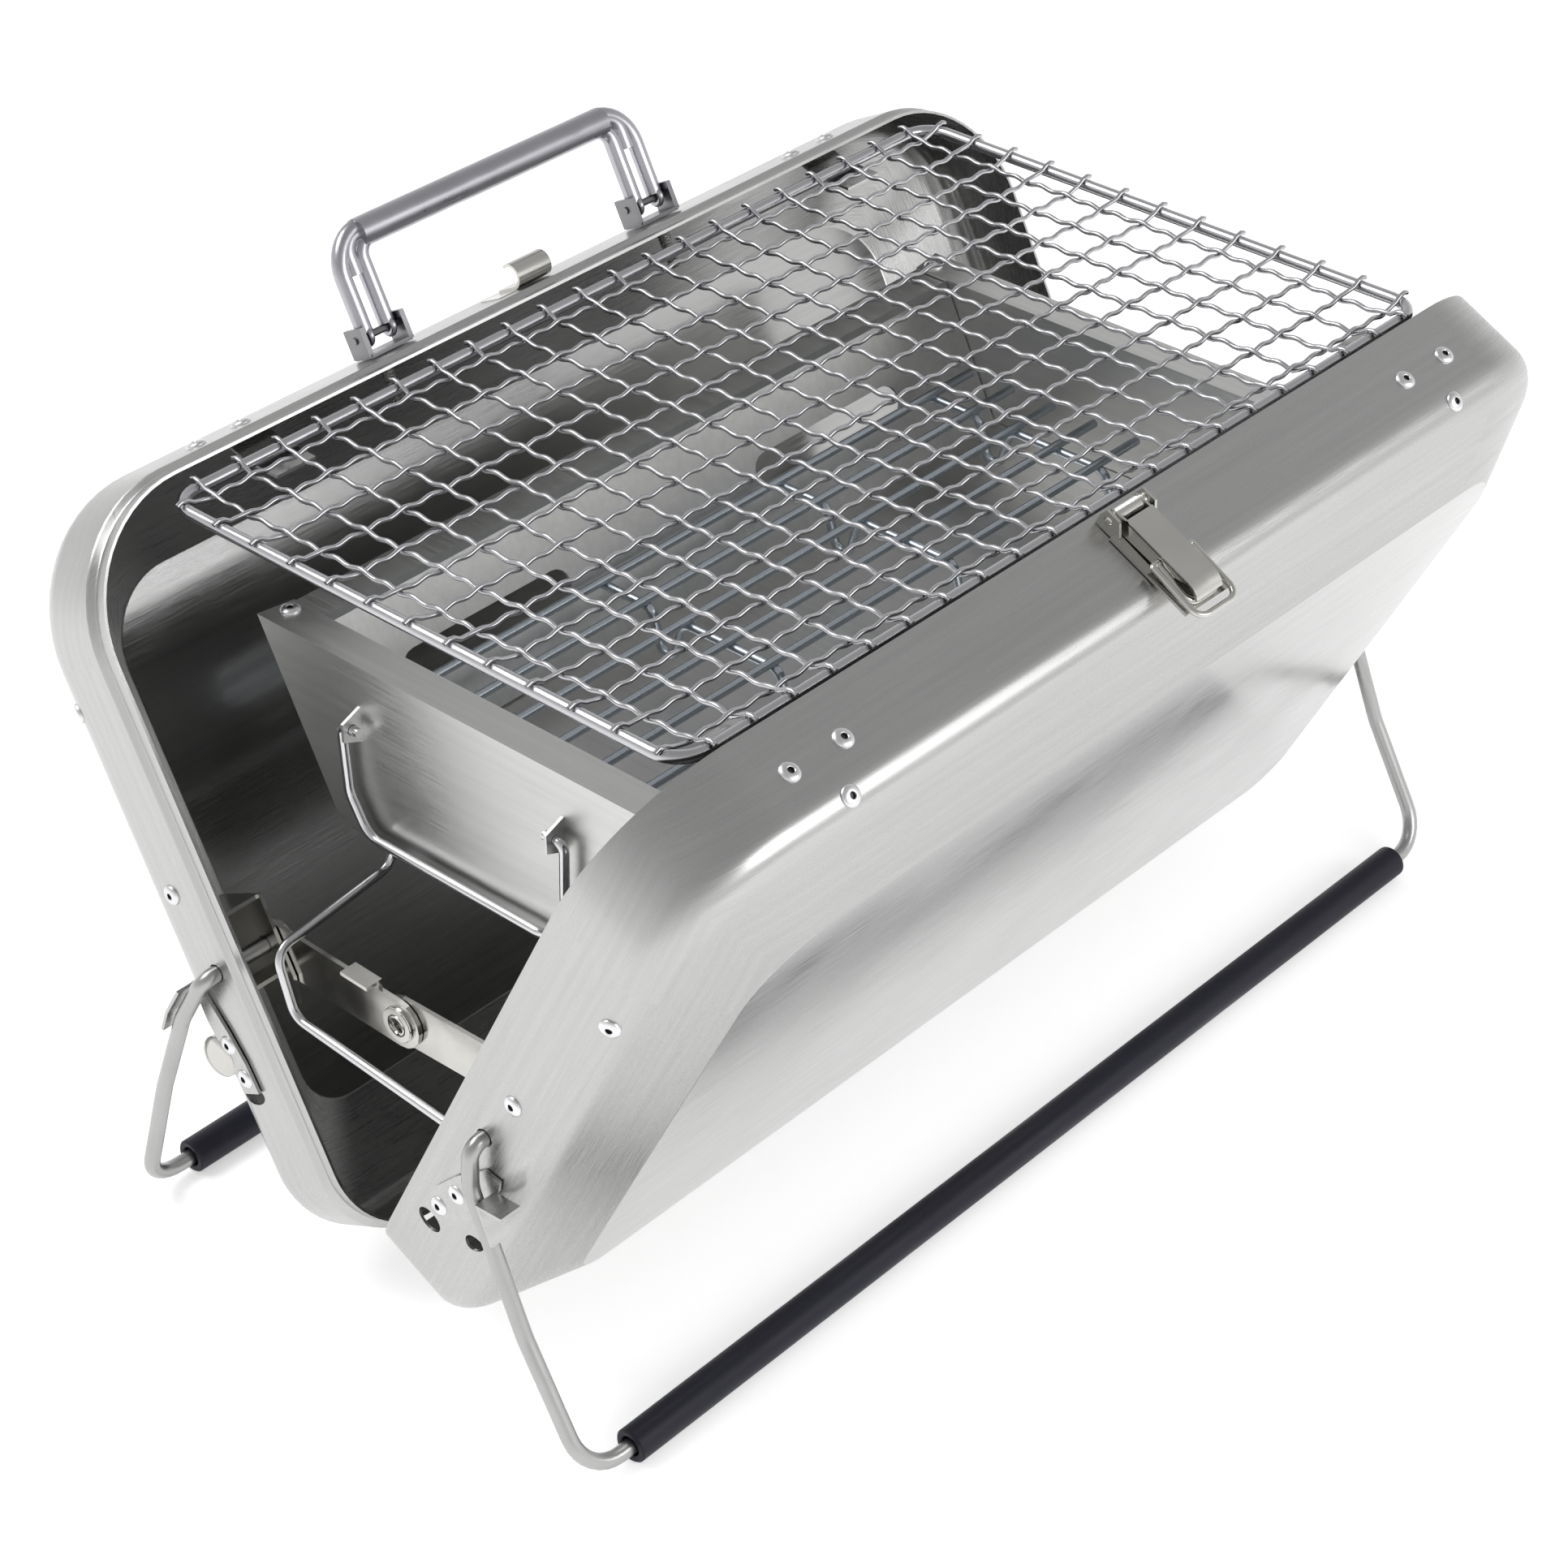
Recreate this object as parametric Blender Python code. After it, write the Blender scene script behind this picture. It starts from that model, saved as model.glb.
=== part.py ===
"""Folding suitcase camp grill, opened for cooking: X along the hinge, front shell at -Y, Z up, metres."""
import math

import bmesh
import bpy
from mathutils import Matrix, Vector
from mathutils.geometry import tessellate_polygon

# ---- shells ----
HALF_LENGTH = 0.200
SHELL_HEIGHT = 0.234
SHELL_DEPTH = 0.046
WALL_DEPTH = 0.031
PANEL_INSET = 0.0306
SHEET = 0.0009
TOP_RADIUS = 0.043
BOTTOM_RADIUS = 0.027
PANEL_TOP_RADIUS = 0.025
PANEL_BOTTOM_RADIUS = 0.014
BEND_RADIUS = 0.007
BEND_STEPS = 4
CORNER_STEPS = 7
LIP_DEPTH = 0.0047
LIP_INSET = 0.0017
HALF_OPENING = math.radians(27.0)
VERTEX_HEIGHT = 0.0261

# ---- fold axis: half the lip depth out of the rim plane, far enough below the rim to nest the lip ----
AXIS_N = LIP_DEPTH / 2
AXIS_U = -LIP_DEPTH / (2 * math.tan(HALF_OPENING))

# ---- clearance, and facets round a turned piece ----
GAP = 0.0003
ROUND_STEPS = 16
SHARP_ANGLE = math.radians(50.0)

# ---- legs: one bent wire each, turning in the end walls ----
PIN_U = 0.095
PIN_N = 0.0135
LEG_WIRE = 0.0025
LEG_PLANE = 0.2055
FOOT_Y = 0.0948
FOOT_BEND = 0.013
ELBOW_BEND = 0.004
UPPER_KNEE_BEND = 0.012
LOWER_KNEE_BEND = 0.020
SLEEVE_RADIUS = 0.0055
SLEEVE_BORE = 0.0034
SLEEVE_HALF = 0.1885
PIN_END = 0.1735
LEG_PATH = {-1: ((0.0816, 0.0194), (0.0502, 0.0558)), 1: ((0.0831, 0.0323), (0.0601, 0.0586))}

# ---- pivot brackets, stay links, rest wires ----
BRACKET_FACE = 0.1815
BRACKET_SHEET = 0.0012
BRACKET_LOW_U = 0.0840
BRACKET_HIGH_U = 0.1110
BRACKET_NEAR_N = 0.0062
BRACKET_FAR_N = 0.0270
LINK_SHEET = 0.0015
LINK_HALF_WIDTH = 0.0080
LINK_SAG = 0.0015
REAR_LINK_FACE = 0.1799
FRONT_LINK_FACE = 0.1781
EYELET_RADIUS = 0.0055
REST_WIRE = 0.0015
REST_PLANE = 0.1930
REST_PIVOT = (0.0795, 0.0120)

# ---- cooking grid ----
GRID_HALF_X = 0.1645
GRID_HALF_Y = 0.0990
GRID_Z = 0.2290
GRID_FRAME_WIRE = 0.0020
GRID_WIRE = 0.0010
GRID_PITCH = 0.0154
GRID_RISE = 0.0011
GRID_CORNER = 0.009
WIRES_ALONG_X = 13
WIRES_ALONG_Y = 21

# ---- fire box ----
BOX_HALF = 0.150
BOX_TOP_Z = 0.1925
BOX_BOTTOM_Z = 0.133
BOX_TOP_Y = 0.0820
BOX_BOTTOM_Y = 0.0525
BOX_SHEET = 0.0008
BOX_FLANGE = 0.0115
SIDE_FLANGE = 0.0130
FLOOR_Z = 0.1380
BAIL_Y = 0.0405
BAIL_Z = 0.1730
BAIL_X = 0.1545
BAIL_WIRE = 0.0015
GRATE_Z = 0.165
GRATE_WIRE = 0.0015
GRATE_HALF = 0.134
GRATE_PITCH = 0.0173

# ---- fittings on the top walls ----
FRONT, REAR = -1, 1
SUPPORT_X = {FRONT: 0.140, REAR: 0.124}
SUPPORT_HALF = 0.0075
SUPPORT_TONGUE = ((0.1050, 0.2266), (0.0990, 0.2264), (0.0910, 0.2262))
HANDLE_MIDDLE = -0.0015
HANDLE_HALF = 0.0585
HANDLE_LEG = 0.0045
HANDLE_N = 0.018
HANDLE_U = 0.2405
HANDLE_TOP_U = 0.2695
LATCH_X = 0.001
LATCH_PIN = (0.0050, 0.2378)
KEEPER_X = -0.0065

# ---- hinges ----
HINGE_X = 0.110
HINGE_HALF = 0.024
KNUCKLE_RADIUS = 0.0023
KNUCKLE_BORE = 0.0013
HINGE_PIN = 0.0010

# ---- pressed openings and leg stops ----
JOGGLE = 0.0012
WALL_SLOT = (0.0440, 0.0120)
WALL_SLOT_LENGTH = 0.0025
WALL_SLOT_RADIUS = 0.0030
STOP_HEIGHT = 0.0080
STOP_FLANGE = {
    FRONT: ((0.0731, 0.0344), (0.0818, 0.0243), (0.0870, 0.0330)),
    REAR: ((0.0803, 0.0409), (0.0860, 0.0345), (0.0925, 0.0240)),
}
STOP_BASE = {
    FRONT: ((0.0875, 0.0245), (0.0840, 0.0255), (0.0700, 0.0255), (0.0600, 0.0210), (0.0500, 0.0170),
            (0.0500, 0.0080), (0.0600, 0.0080), (0.0720, 0.0120), (0.0860, 0.0190)),
    REAR: ((0.0930, 0.0240), (0.0930, 0.0268), (0.0800, 0.0270), (0.0670, 0.0250), (0.0560, 0.0240),
           (0.0560, 0.0165), (0.0660, 0.0170), (0.0760, 0.0190)),
}
LOOP_SPOT = (0.0230, 0.2380)

COLORS = {
    "steel": ((0.62, 0.62, 0.61, 1.0), 1.0, 0.32),
    "bright": ((0.72, 0.72, 0.73, 1.0), 1.0, 0.15),
    "box": ((0.55, 0.55, 0.54, 1.0), 1.0, 0.38),
    "rubber": ((0.015, 0.015, 0.022, 1.0), 0.0, 0.6),
}


def clear_scene():
    for item in list(bpy.data.objects):
        bpy.data.objects.remove(item, do_unlink=True)


def material(name, look):
    color, metallic, roughness = COLORS[look]
    made = bpy.data.materials.new(name + "_material")
    made.use_nodes = True
    shader = made.node_tree.nodes["Principled BSDF"]
    shader.inputs["Base Color"].default_value = color
    shader.inputs["Metallic"].default_value = metallic
    shader.inputs["Roughness"].default_value = roughness
    return made


def shell_point(side, x, u, n):
    """World point from shell coordinates: u up the shell, n outward from its rim plane."""
    s, c = math.sin(HALF_OPENING), math.cos(HALF_OPENING)
    return Vector((x, side * (s * u + c * n), VERTEX_HEIGHT + c * u - s * n))


FOLD_AXIS = shell_point(1, 0.0, AXIS_U, AXIS_N)


class Solid:
    """A list of points and faces that becomes one closed body."""

    def __init__(self):
        self.points = []
        self.faces = []

    def ring(self, points):
        first = len(self.points)
        self.points.extend(Vector(p) for p in points)
        return list(range(first, len(self.points)))

    def join(self, a, b, closed=True):
        count = len(a)
        for i in range(count if closed else count - 1):
            j = (i + 1) % count
            self.faces.append((a[i], a[j], b[j], b[i]))

    def cap(self, ring):
        self.faces.append(tuple(ring))

    def mesh(self, name):
        made = bmesh.new()
        verts = [made.verts.new(p) for p in self.points]
        for face in self.faces:
            made.faces.new([verts[i] for i in face])
        bmesh.ops.recalc_face_normals(made, faces=made.faces)
        data = bpy.data.meshes.new(name)
        made.to_mesh(data)
        made.free()
        return data


def add(name, solid, look, origin=(0, 0, 0)):
    data = solid.mesh(name)
    data.transform(Matrix.Translation(-Vector(origin)))
    item = bpy.data.objects.new(name, data)
    item.location = origin
    bpy.context.collection.objects.link(item)
    data.materials.append(material(name, look))
    return item


def merged(name, solids):
    """One mesh holding every given solid as its own closed shell."""
    joined = bmesh.new()
    for solid in solids:
        piece = solid.mesh(name)
        joined.from_mesh(piece)
        bpy.data.meshes.remove(piece)
    data = bpy.data.meshes.new(name)
    joined.to_mesh(data)
    joined.free()
    return data


def combine(item, solids, operation, overlapping=False):
    """Cuts the solids from the item or joins them to it with one exact Boolean, and applies it."""
    data = merged(item.name + "_tool", solids)
    data.transform(Matrix.Translation(-item.location))
    other = bpy.data.objects.new(item.name + "_tool", data)
    other.location = item.location
    other.display_type = "WIRE"
    other.hide_render = True
    bpy.context.collection.objects.link(other)
    change = item.modifiers.new("combine", "BOOLEAN")
    change.operation = operation
    change.solver = "EXACT"
    change.use_self = overlapping
    change.object = other
    bpy.context.view_layer.update()
    result = bpy.data.meshes.new_from_object(item.evaluated_get(bpy.context.evaluated_depsgraph_get()))
    item.modifiers.clear()
    old = item.data
    item.data = result
    result.name = item.name
    bpy.data.meshes.remove(old)
    bpy.data.objects.remove(other, do_unlink=True)
    bpy.data.meshes.remove(data)


def basis(direction, hint):
    forward = Vector(direction).normalized()
    across = forward.cross(Vector(hint))
    if across.length < 1e-6:
        across = forward.cross(Vector((1, 0, 0)))
    across.normalize()
    return across, across.cross(forward)


def circle(center, across, up, radius, steps, turn=0.0):
    angles = [turn + 2 * math.pi * i / steps for i in range(steps)]
    return [center + across * radius * math.cos(t) + up * radius * math.sin(t) for t in angles]


def rounded_path(points, radius, steps=4):
    """Replaces the inner corners of a polyline with arcs."""
    pts = [Vector(p) for p in points]
    out = [pts[0]]
    for before, corner, after in zip(pts, pts[1:], pts[2:]):
        a, b = (before - corner).normalized(), (after - corner).normalized()
        half = a.angle(b) / 2
        reach = min(radius / math.tan(half), 0.49 * min((before - corner).length, (after - corner).length))
        middle = corner + (a + b).normalized() * (reach / math.cos(half))
        start, end = corner + a * reach - middle, corner + b * reach - middle
        swing = start.angle(end)
        for i in range(steps + 1):
            t = i / steps
            mix = (start * math.sin((1 - t) * swing) + end * math.sin(t * swing)) / math.sin(swing)
            out.append(middle + mix)
    out.append(pts[-1])
    return out


def wire(points, radius, steps=8, hint=(0, 0, 1), closed=False, turn=None):
    """Round wire along a path, one mitred ring per point."""
    pts = [Vector(p) for p in points]
    count = len(pts)
    solid = Solid()
    rings = []
    turn = math.pi / steps if turn is None else turn
    across = None
    for i, point in enumerate(pts):
        a = pts[i - 1] if closed or i else pts[i]
        b = pts[(i + 1) % count] if closed or i < count - 1 else pts[i]
        into = (point - a).normalized() if i or closed else (b - point).normalized()
        out = (b - point).normalized() if closed or i < count - 1 else into
        along = (into + out).normalized()
        if across is None:
            across, up = basis(into, hint)
        across = (across - along * across.dot(along)).normalized()
        up = across.cross(along)
        stretch = 1 / max(0.3, along.dot(into))
        bend = out - into
        ring = circle(Vector(), across, up, radius, steps, turn)
        if bend.length > 1e-6:
            push = bend.normalized()
            ring = [r + push * r.dot(push) * (stretch - 1) for r in ring]
        rings.append(solid.ring([point + r for r in ring]))
    for a, b in zip(rings, rings[1:]):
        solid.join(a, b)
    if closed:
        solid.join(rings[-1], rings[0])
    else:
        solid.cap(rings[0])
        solid.cap(rings[-1])
    return solid


def turned(base, direction, profile, steps=ROUND_STEPS, hint=(0, 0, 1)):
    """Body of revolution from (distance, radius) pairs along an axis."""
    across, up = basis(direction, hint)
    axis = Vector(direction).normalized()
    solid = Solid()
    rings = [solid.ring(circle(Vector(base) + axis * d, across, up, r, steps)) for d, r in profile]
    for a, b in zip(rings, rings[1:]):
        solid.join(a, b)
    solid.cap(rings[0])
    solid.cap(rings[-1])
    return solid


def pipe(base, direction, length, outer, inner, steps=ROUND_STEPS, hint=(0, 0, 1)):
    across, up = basis(direction, hint)
    ends = [Vector(base), Vector(base) + Vector(direction).normalized() * length]
    solid = Solid()
    rings = []
    for radius in (outer, inner):
        rings.append([solid.ring(circle(end, across, up, radius, steps)) for end in ends])
    solid.join(*rings[0])
    solid.join(*rings[1])
    solid.join(rings[0][0], rings[1][0])
    solid.join(rings[0][1], rings[1][1])
    return solid


def plate(outline, place, thickness, holes=()):
    """Flat plate from a 2-D outline with holes; place(a, b, t) maps it to the world."""
    loops = [list(outline)] + [list(h) for h in holes]
    flat = [[Vector((a, b, 0)) for a, b in loop] for loop in loops]
    triangles = tessellate_polygon(flat)
    solid = Solid()
    lows, highs = [], []
    for loop in loops:
        lows.append(solid.ring([place(a, b, 0.0) for a, b in loop]))
        highs.append(solid.ring([place(a, b, thickness) for a, b in loop]))
    low = [i for ring in lows for i in ring]
    high = [i for ring in highs for i in ring]
    for tri in triangles:
        solid.faces.append(tuple(low[i] for i in tri))
        solid.faces.append(tuple(high[i] for i in reversed(tri)))
    for a, b in zip(lows, highs):
        solid.join(a, b)
    return solid


def strip(profile, place, low, high, thickness):
    """Bent sheet: an open profile with one side offset by the thickness, extruded between low and high."""
    pts = [Vector((a, b)) for a, b in profile]
    offset = []
    for i, p in enumerate(pts):
        a = (p - pts[i - 1]).normalized() if i else (pts[1] - p).normalized()
        b = (pts[i + 1] - p).normalized() if i < len(pts) - 1 else a
        normal = Vector((-(a.y + b.y), a.x + b.x)).normalized()
        offset.append(p + normal * thickness / max(0.4, normal.dot(Vector((-a.y, a.x)))))
    outline = [tuple(p) for p in pts] + [tuple(p) for p in reversed(offset)]
    return plate(outline, lambda a, b, t: place(a, b, low + t), high - low)


def disc_outline(center, radius, steps=ROUND_STEPS):
    angles = [2 * math.pi * i / steps for i in range(steps)]
    return [(center[0] + radius * math.cos(t), center[1] + radius * math.sin(t)) for t in angles]


def slot_outline(center, half_length, radius, steps=8):
    out = []
    for side in (1, -1):
        for i in range(steps + 1):
            t = side * math.pi / 2 * (2 * i / steps - 1) if side > 0 else math.pi / 2 + math.pi * i / steps
            out.append((center[0] + side * half_length + radius * math.cos(t), center[1] + radius * math.sin(t)))
    return out


# ---- shells ----

def outline(inset, top_radius, bottom_radius):
    """Rounded rectangle of the shell in (x, u), counter-clockwise from the top right corner."""
    out = []
    left, right = -HALF_LENGTH + inset, HALF_LENGTH - inset
    low, high = inset, SHELL_HEIGHT - inset
    corners = ((right, high, top_radius), (left, high, top_radius))
    corners += ((left, low, bottom_radius), (right, low, bottom_radius))
    for quarter, (x, u, radius) in enumerate(corners):
        sx = 1 if quarter in (0, 3) else -1
        su = 1 if quarter in (0, 1) else -1
        for i in range(CORNER_STEPS + 1):
            t = math.pi / 2 * (quarter + i / CORNER_STEPS)
            out.append((x - sx * radius + radius * math.cos(t), u - su * radius + radius * math.sin(t)))
    return out


def pressed_profile(lip):
    """Outer skin of the pressed shell as (inset, n) from the rim to the panel crease."""
    turn = math.pi / 2 - math.atan2(SHELL_DEPTH - WALL_DEPTH, PANEL_INSET)
    center = (BEND_RADIUS, WALL_DEPTH - BEND_RADIUS * math.tan(turn / 2))
    profile = [(LIP_INSET, 0.0), (LIP_INSET, LIP_DEPTH), (0.0, LIP_DEPTH + JOGGLE)] if lip else [(0.0, 0.0)]
    for i in range(BEND_STEPS + 1):
        t = math.pi - turn * i / BEND_STEPS
        profile.append((center[0] + BEND_RADIUS * math.cos(t), center[1] + BEND_RADIUS * math.sin(t)))
    profile.append((PANEL_INSET, SHELL_DEPTH))
    return profile


def inner_profile(profile):
    """The same profile moved inward by the sheet thickness."""
    out = []
    for i, (d, n) in enumerate(profile):
        here = Vector((d, n))
        a = (here - Vector(profile[i - 1])).normalized() if i else (Vector(profile[1]) - here).normalized()
        b = (Vector(profile[i + 1]) - here).normalized() if i < len(profile) - 1 else Vector((1, 0))
        normal = Vector((a.y + b.y, -a.x - b.x)).normalized()
        out.append(tuple(here + normal * SHEET / normal.dot(Vector((a.y, -a.x)))))
    return out


def skin(solid, side, profile, shrink):
    rings = []
    for d, n in profile:
        part = min(max(d / PANEL_INSET, 0), 1)
        top = TOP_RADIUS + (PANEL_TOP_RADIUS - TOP_RADIUS) * part - shrink
        bottom = BOTTOM_RADIUS + (PANEL_BOTTOM_RADIUS - BOTTOM_RADIUS) * part - shrink
        rings.append(solid.ring([shell_point(side, x, u, n) for x, u in outline(d, top, bottom)]))
    for a, b in zip(rings, rings[1:]):
        solid.join(a, b)
    return rings


def wall_hole(side, end, u, n, radius):
    """Round cutter through an end wall of a shell."""
    base = shell_point(side, end * (HALF_LENGTH - 3 * SHEET), u, n)
    return turned(base, (end, 0, 0), [(0, radius), (6 * SHEET, radius)], 12)


def wall_slot(side, end, u, n, half_length, radius):
    """Obround cutter through an end wall, long in the n direction."""
    def place(a, b, t):
        return shell_point(side, end * (HALF_LENGTH - 3 * SHEET + t), b, a)
    return plate(slot_outline((n, u), half_length, radius), place, 6 * SHEET)


def shell(name, side):
    solid = Solid()
    outer = pressed_profile(side == REAR)
    rings = skin(solid, side, outer, 0.0)
    inner = skin(solid, side, inner_profile(outer), SHEET)
    solid.join(rings[0], inner[0])
    solid.cap(rings[-1])
    solid.cap(inner[-1])
    item = add(name, solid, "steel", FOLD_AXIS if side == FRONT else (0, 0, 0))
    cuts = []
    for end in (-1, 1):
        cuts.append(wall_hole(side, end, PIN_U, PIN_N, LEG_WIRE + GAP))
        cuts.append(wall_slot(side, end, WALL_SLOT[0], WALL_SLOT[1], WALL_SLOT_LENGTH, WALL_SLOT_RADIUS))
    combine(item, cuts, "DIFFERENCE")


# ---- legs and their fittings ----

def leg(name, side):
    """Bent wire leg: both ends pass through the end walls, the foot runs along X."""
    half = [shell_point(side, -PIN_END, PIN_U, PIN_N), shell_point(side, -LEG_PLANE, PIN_U, PIN_N)]
    half += [shell_point(side, -LEG_PLANE, u, n) for u, n in LEG_PATH[side]]
    half.append(Vector((-LEG_PLANE, side * FOOT_Y, SLEEVE_RADIUS)))
    other = [Vector((-p.x, p.y, p.z)) for p in reversed(half)]
    path = rounded_leg(half + other)
    add(name, wire(path, LEG_WIRE, 8), "bright", shell_point(side, 0, PIN_U, PIN_N))


def rounded_leg(points):
    """Rounds the elbows tightly, the knees softly and the foot corners with the foot radius."""
    half = [ELBOW_BEND, UPPER_KNEE_BEND, LOWER_KNEE_BEND, FOOT_BEND]
    radii = half + list(reversed(half))
    out = [Vector(points[0])]
    for before, corner, after, radius in zip(points, points[1:], points[2:], radii):
        out += rounded_path([before, corner, after], radius, 4)[1:-1]
    out.append(Vector(points[-1]))
    return out


def sleeve(name, side):
    base = (-SLEEVE_HALF, side * FOOT_Y, SLEEVE_RADIUS)
    pin = shell_point(side, 0, PIN_U, PIN_N)
    add(name, pipe(base, (1, 0, 0), 2 * SLEEVE_HALF, SLEEVE_RADIUS, SLEEVE_BORE), "rubber", pin)


def collar(name, side, end):
    """Push-on washer that keeps the leg wire in its bracket."""
    base = shell_point(side, end * (PIN_END + 0.0012), PIN_U, PIN_N)
    pin = shell_point(side, 0, PIN_U, PIN_N)
    add(name, pipe(base, (end, 0, 0), 0.0012, 0.0048, LEG_WIRE + GAP), "bright", pin)


def box_solid(place, a0, a1, b0, b1, t0, t1):
    return plate([(a0, b0), (a1, b0), (a1, b1), (a0, b1)], lambda a, b, t: place(a, b, t0 + t), t1 - t0)


def pivot_bracket(name, side, end):
    """Channel on the end wall that carries the inner end of the leg wire and the rest wire."""
    def face(a, b, t):
        return shell_point(side, end * (BRACKET_FACE - t), b, a)

    wall = HALF_LENGTH - SHEET - GAP
    pin = disc_outline((PIN_N, PIN_U), LEG_WIRE + GAP)
    rest = disc_outline((REST_PIVOT[1], REST_PIVOT[0]), REST_WIRE + GAP, 10)
    low_n, high_n = BRACKET_NEAR_N, BRACKET_FAR_N
    tongue = REST_PIVOT[0] - 0.0045
    shape = [(low_n, BRACKET_HIGH_U), (low_n, BRACKET_LOW_U), (low_n + 0.003, tongue), (low_n + 0.013, tongue)]
    shape += [(high_n, BRACKET_LOW_U), (high_n, BRACKET_HIGH_U)]
    item = add(name, plate(shape, face, BRACKET_SHEET, (pin, rest)), "steel", FOLD_AXIS if side == FRONT else (0, 0, 0))

    def along(a, b, t):
        return shell_point(side, end * a, t, b)

    edge = BRACKET_SHEET
    inner = BRACKET_FACE - 0.5 * edge
    sides = [box_solid(along, inner, wall, low_n + 0.008, high_n - 0.001, BRACKET_LOW_U, BRACKET_LOW_U + edge)]
    sides.append(box_solid(along, inner, wall, low_n + 0.001, high_n - 0.001, BRACKET_HIGH_U - edge, BRACKET_HIGH_U))
    feet = wall - edge
    top, bottom = BRACKET_HIGH_U - 0.5 * edge, BRACKET_LOW_U + 0.5 * edge
    sides.append(box_solid(along, feet, wall, low_n + 0.002, high_n - 0.002, top, top + 0.012))
    sides.append(box_solid(along, feet, wall, low_n + 0.010, high_n - 0.002, bottom - 0.012, bottom))
    combine(item, sides, "UNION", True)


def leg_stop(name, side, end):
    """Riveted tab on the outside of the end wall with an outstanding flange that the leg rests against."""
    wall = HALF_LENGTH + GAP
    sheet = 0.0010

    def flat(a, b, t):
        return shell_point(side, end * (wall + t), a, b)

    item = add(name, plate(STOP_BASE[side], flat, sheet), "bright", FOLD_AXIS if side == FRONT else (0, 0, 0))
    flange = strip(STOP_FLANGE[side], flat, 0.5 * sheet, STOP_HEIGHT, sheet)
    combine(item, [flange], "UNION")


def stay_link(name, side, end):
    """Flat bar from the leg pin to the middle of the stay, turning on the pin."""
    pin = shell_point(side, 0, PIN_U, PIN_N)
    knee = Vector((0, 0, pin.z - LINK_SAG))
    length = (knee - pin).length
    along = (knee - pin).normalized()
    across = Vector((1, 0, 0)).cross(along)
    face = REAR_LINK_FACE if side == REAR else FRONT_LINK_FACE

    def place(a, b, t):
        return pin + Vector((end * (face - t), 0, 0)) + along * a + across * b

    shape = slot_outline((length / 2, 0), length / 2, LINK_HALF_WIDTH)
    pin_hole = disc_outline((0, 0), LEG_WIRE + GAP)
    knee_hole = disc_outline((length, 0), EYELET_RADIUS - 0.0012, 16)
    item = add(name, plate(shape, place, LINK_SHEET, (pin_hole, knee_hole)), "steel", pin)
    if side == REAR:
        up = 1 if across.z > 0 else -1
        middle = length - 0.0135
        lug = [(middle - 0.0055, up * 0.006), (middle + 0.0055, up * 0.006)]
        lug += [(middle + 0.0055, up * 0.0112), (middle - 0.0055, up * 0.0112)]
        stand = plate(lug, place, LINK_SHEET)
        fold = [(middle - 0.0055, up * 0.0100), (middle + 0.0055, up * 0.0100)]
        fold += [(middle + 0.0055, up * 0.0112), (middle - 0.0055, up * 0.0112)]
        finger = plate(fold, lambda a, b, t: place(a, b, t - 0.0045), 0.0050)
        ring = pipe(place(length, 0, 0.0002), (end, 0, 0), 0.0014, EYELET_RADIUS, EYELET_RADIUS - 0.0018, 16)
        combine(item, [stand, finger, ring], "UNION", True)


def rest_wire(name, end):
    """Wire cranked from the front bracket across the gap, up and in under the fire box."""
    pivot = shell_point(FRONT, end * (BRACKET_FACE - BRACKET_SHEET - 0.0006), *REST_PIVOT)
    inner = BOX_HALF - 2.2 * REST_WIRE
    top = FLOOR_Z - GAP
    points = [pivot, Vector((end * REST_PLANE, pivot.y, pivot.z)), Vector((end * REST_PLANE, 0.030, 0.0975))]
    points += [Vector((end * REST_PLANE, 0.036, 0.118)), Vector((end * inner, 0.036, 0.124))]
    points.append(Vector((end * inner, 0.036, top)))
    path = rounded_path(points, 0.005, 3)
    add(name, wire(path, REST_WIRE, 8), "bright", pivot)


# ---- hinges ----

def hinge_leaf(name, side, mark):
    """Leaf riveted under the bottom wall with knuckles rolled round the fold axis."""
    def place(a, b, t):
        return shell_point(side, mark * HINGE_X + t, b, a)

    thick = 0.0010
    low, high = -GAP - thick, -GAP
    leaf = [(0.0060, low), (0.0240, low), (0.0240, high), (0.0060, high)]
    item = add(name, plate(leaf, lambda a, b, t: place(a, b, t - HINGE_HALF), 2 * HINGE_HALF), "steel",
               FOLD_AXIS if side == FRONT else (0, 0, 0))
    third = HINGE_HALF / 3
    spans = ((-HINGE_HALF, -third - GAP), (third + GAP, HINGE_HALF)) if side == FRONT else ((-third, third),)
    rolls = []
    for start, stop in spans:
        web = [(AXIS_N + 0.0012, AXIS_U - 0.0018), (AXIS_N + 0.0021, AXIS_U - 0.0012)]
        web += [(0.0075, high - 0.0002), (0.0064, high - 0.0002), (0.0055, low - 0.0002)]
        rolls.append(plate(web, lambda a, b, t, s=start: place(a, b, s + t), stop - start))
        base = shell_point(side, mark * HINGE_X + start, AXIS_U, AXIS_N)
        rolls.append(pipe(base, (1, 0, 0), stop - start, KNUCKLE_RADIUS, KNUCKLE_BORE, 12))
    combine(item, rolls, "UNION", True)


def hinge_pin(name, mark):
    base = FOLD_AXIS + Vector((mark * HINGE_X - HINGE_HALF - 0.0014, 0, 0))
    ends = [(0, 0.0009), (0.0002, 0.0019), (0.0010, 0.0019), (0.0010, HINGE_PIN)]
    length = 2 * HINGE_HALF + 0.0028
    profile = ends + [(length - d, r) for d, r in reversed(ends)]
    add(name, turned(base, (1, 0, 0), profile, 12), "bright")


# ---- grid supports, handle, keeper, latch ----

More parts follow.
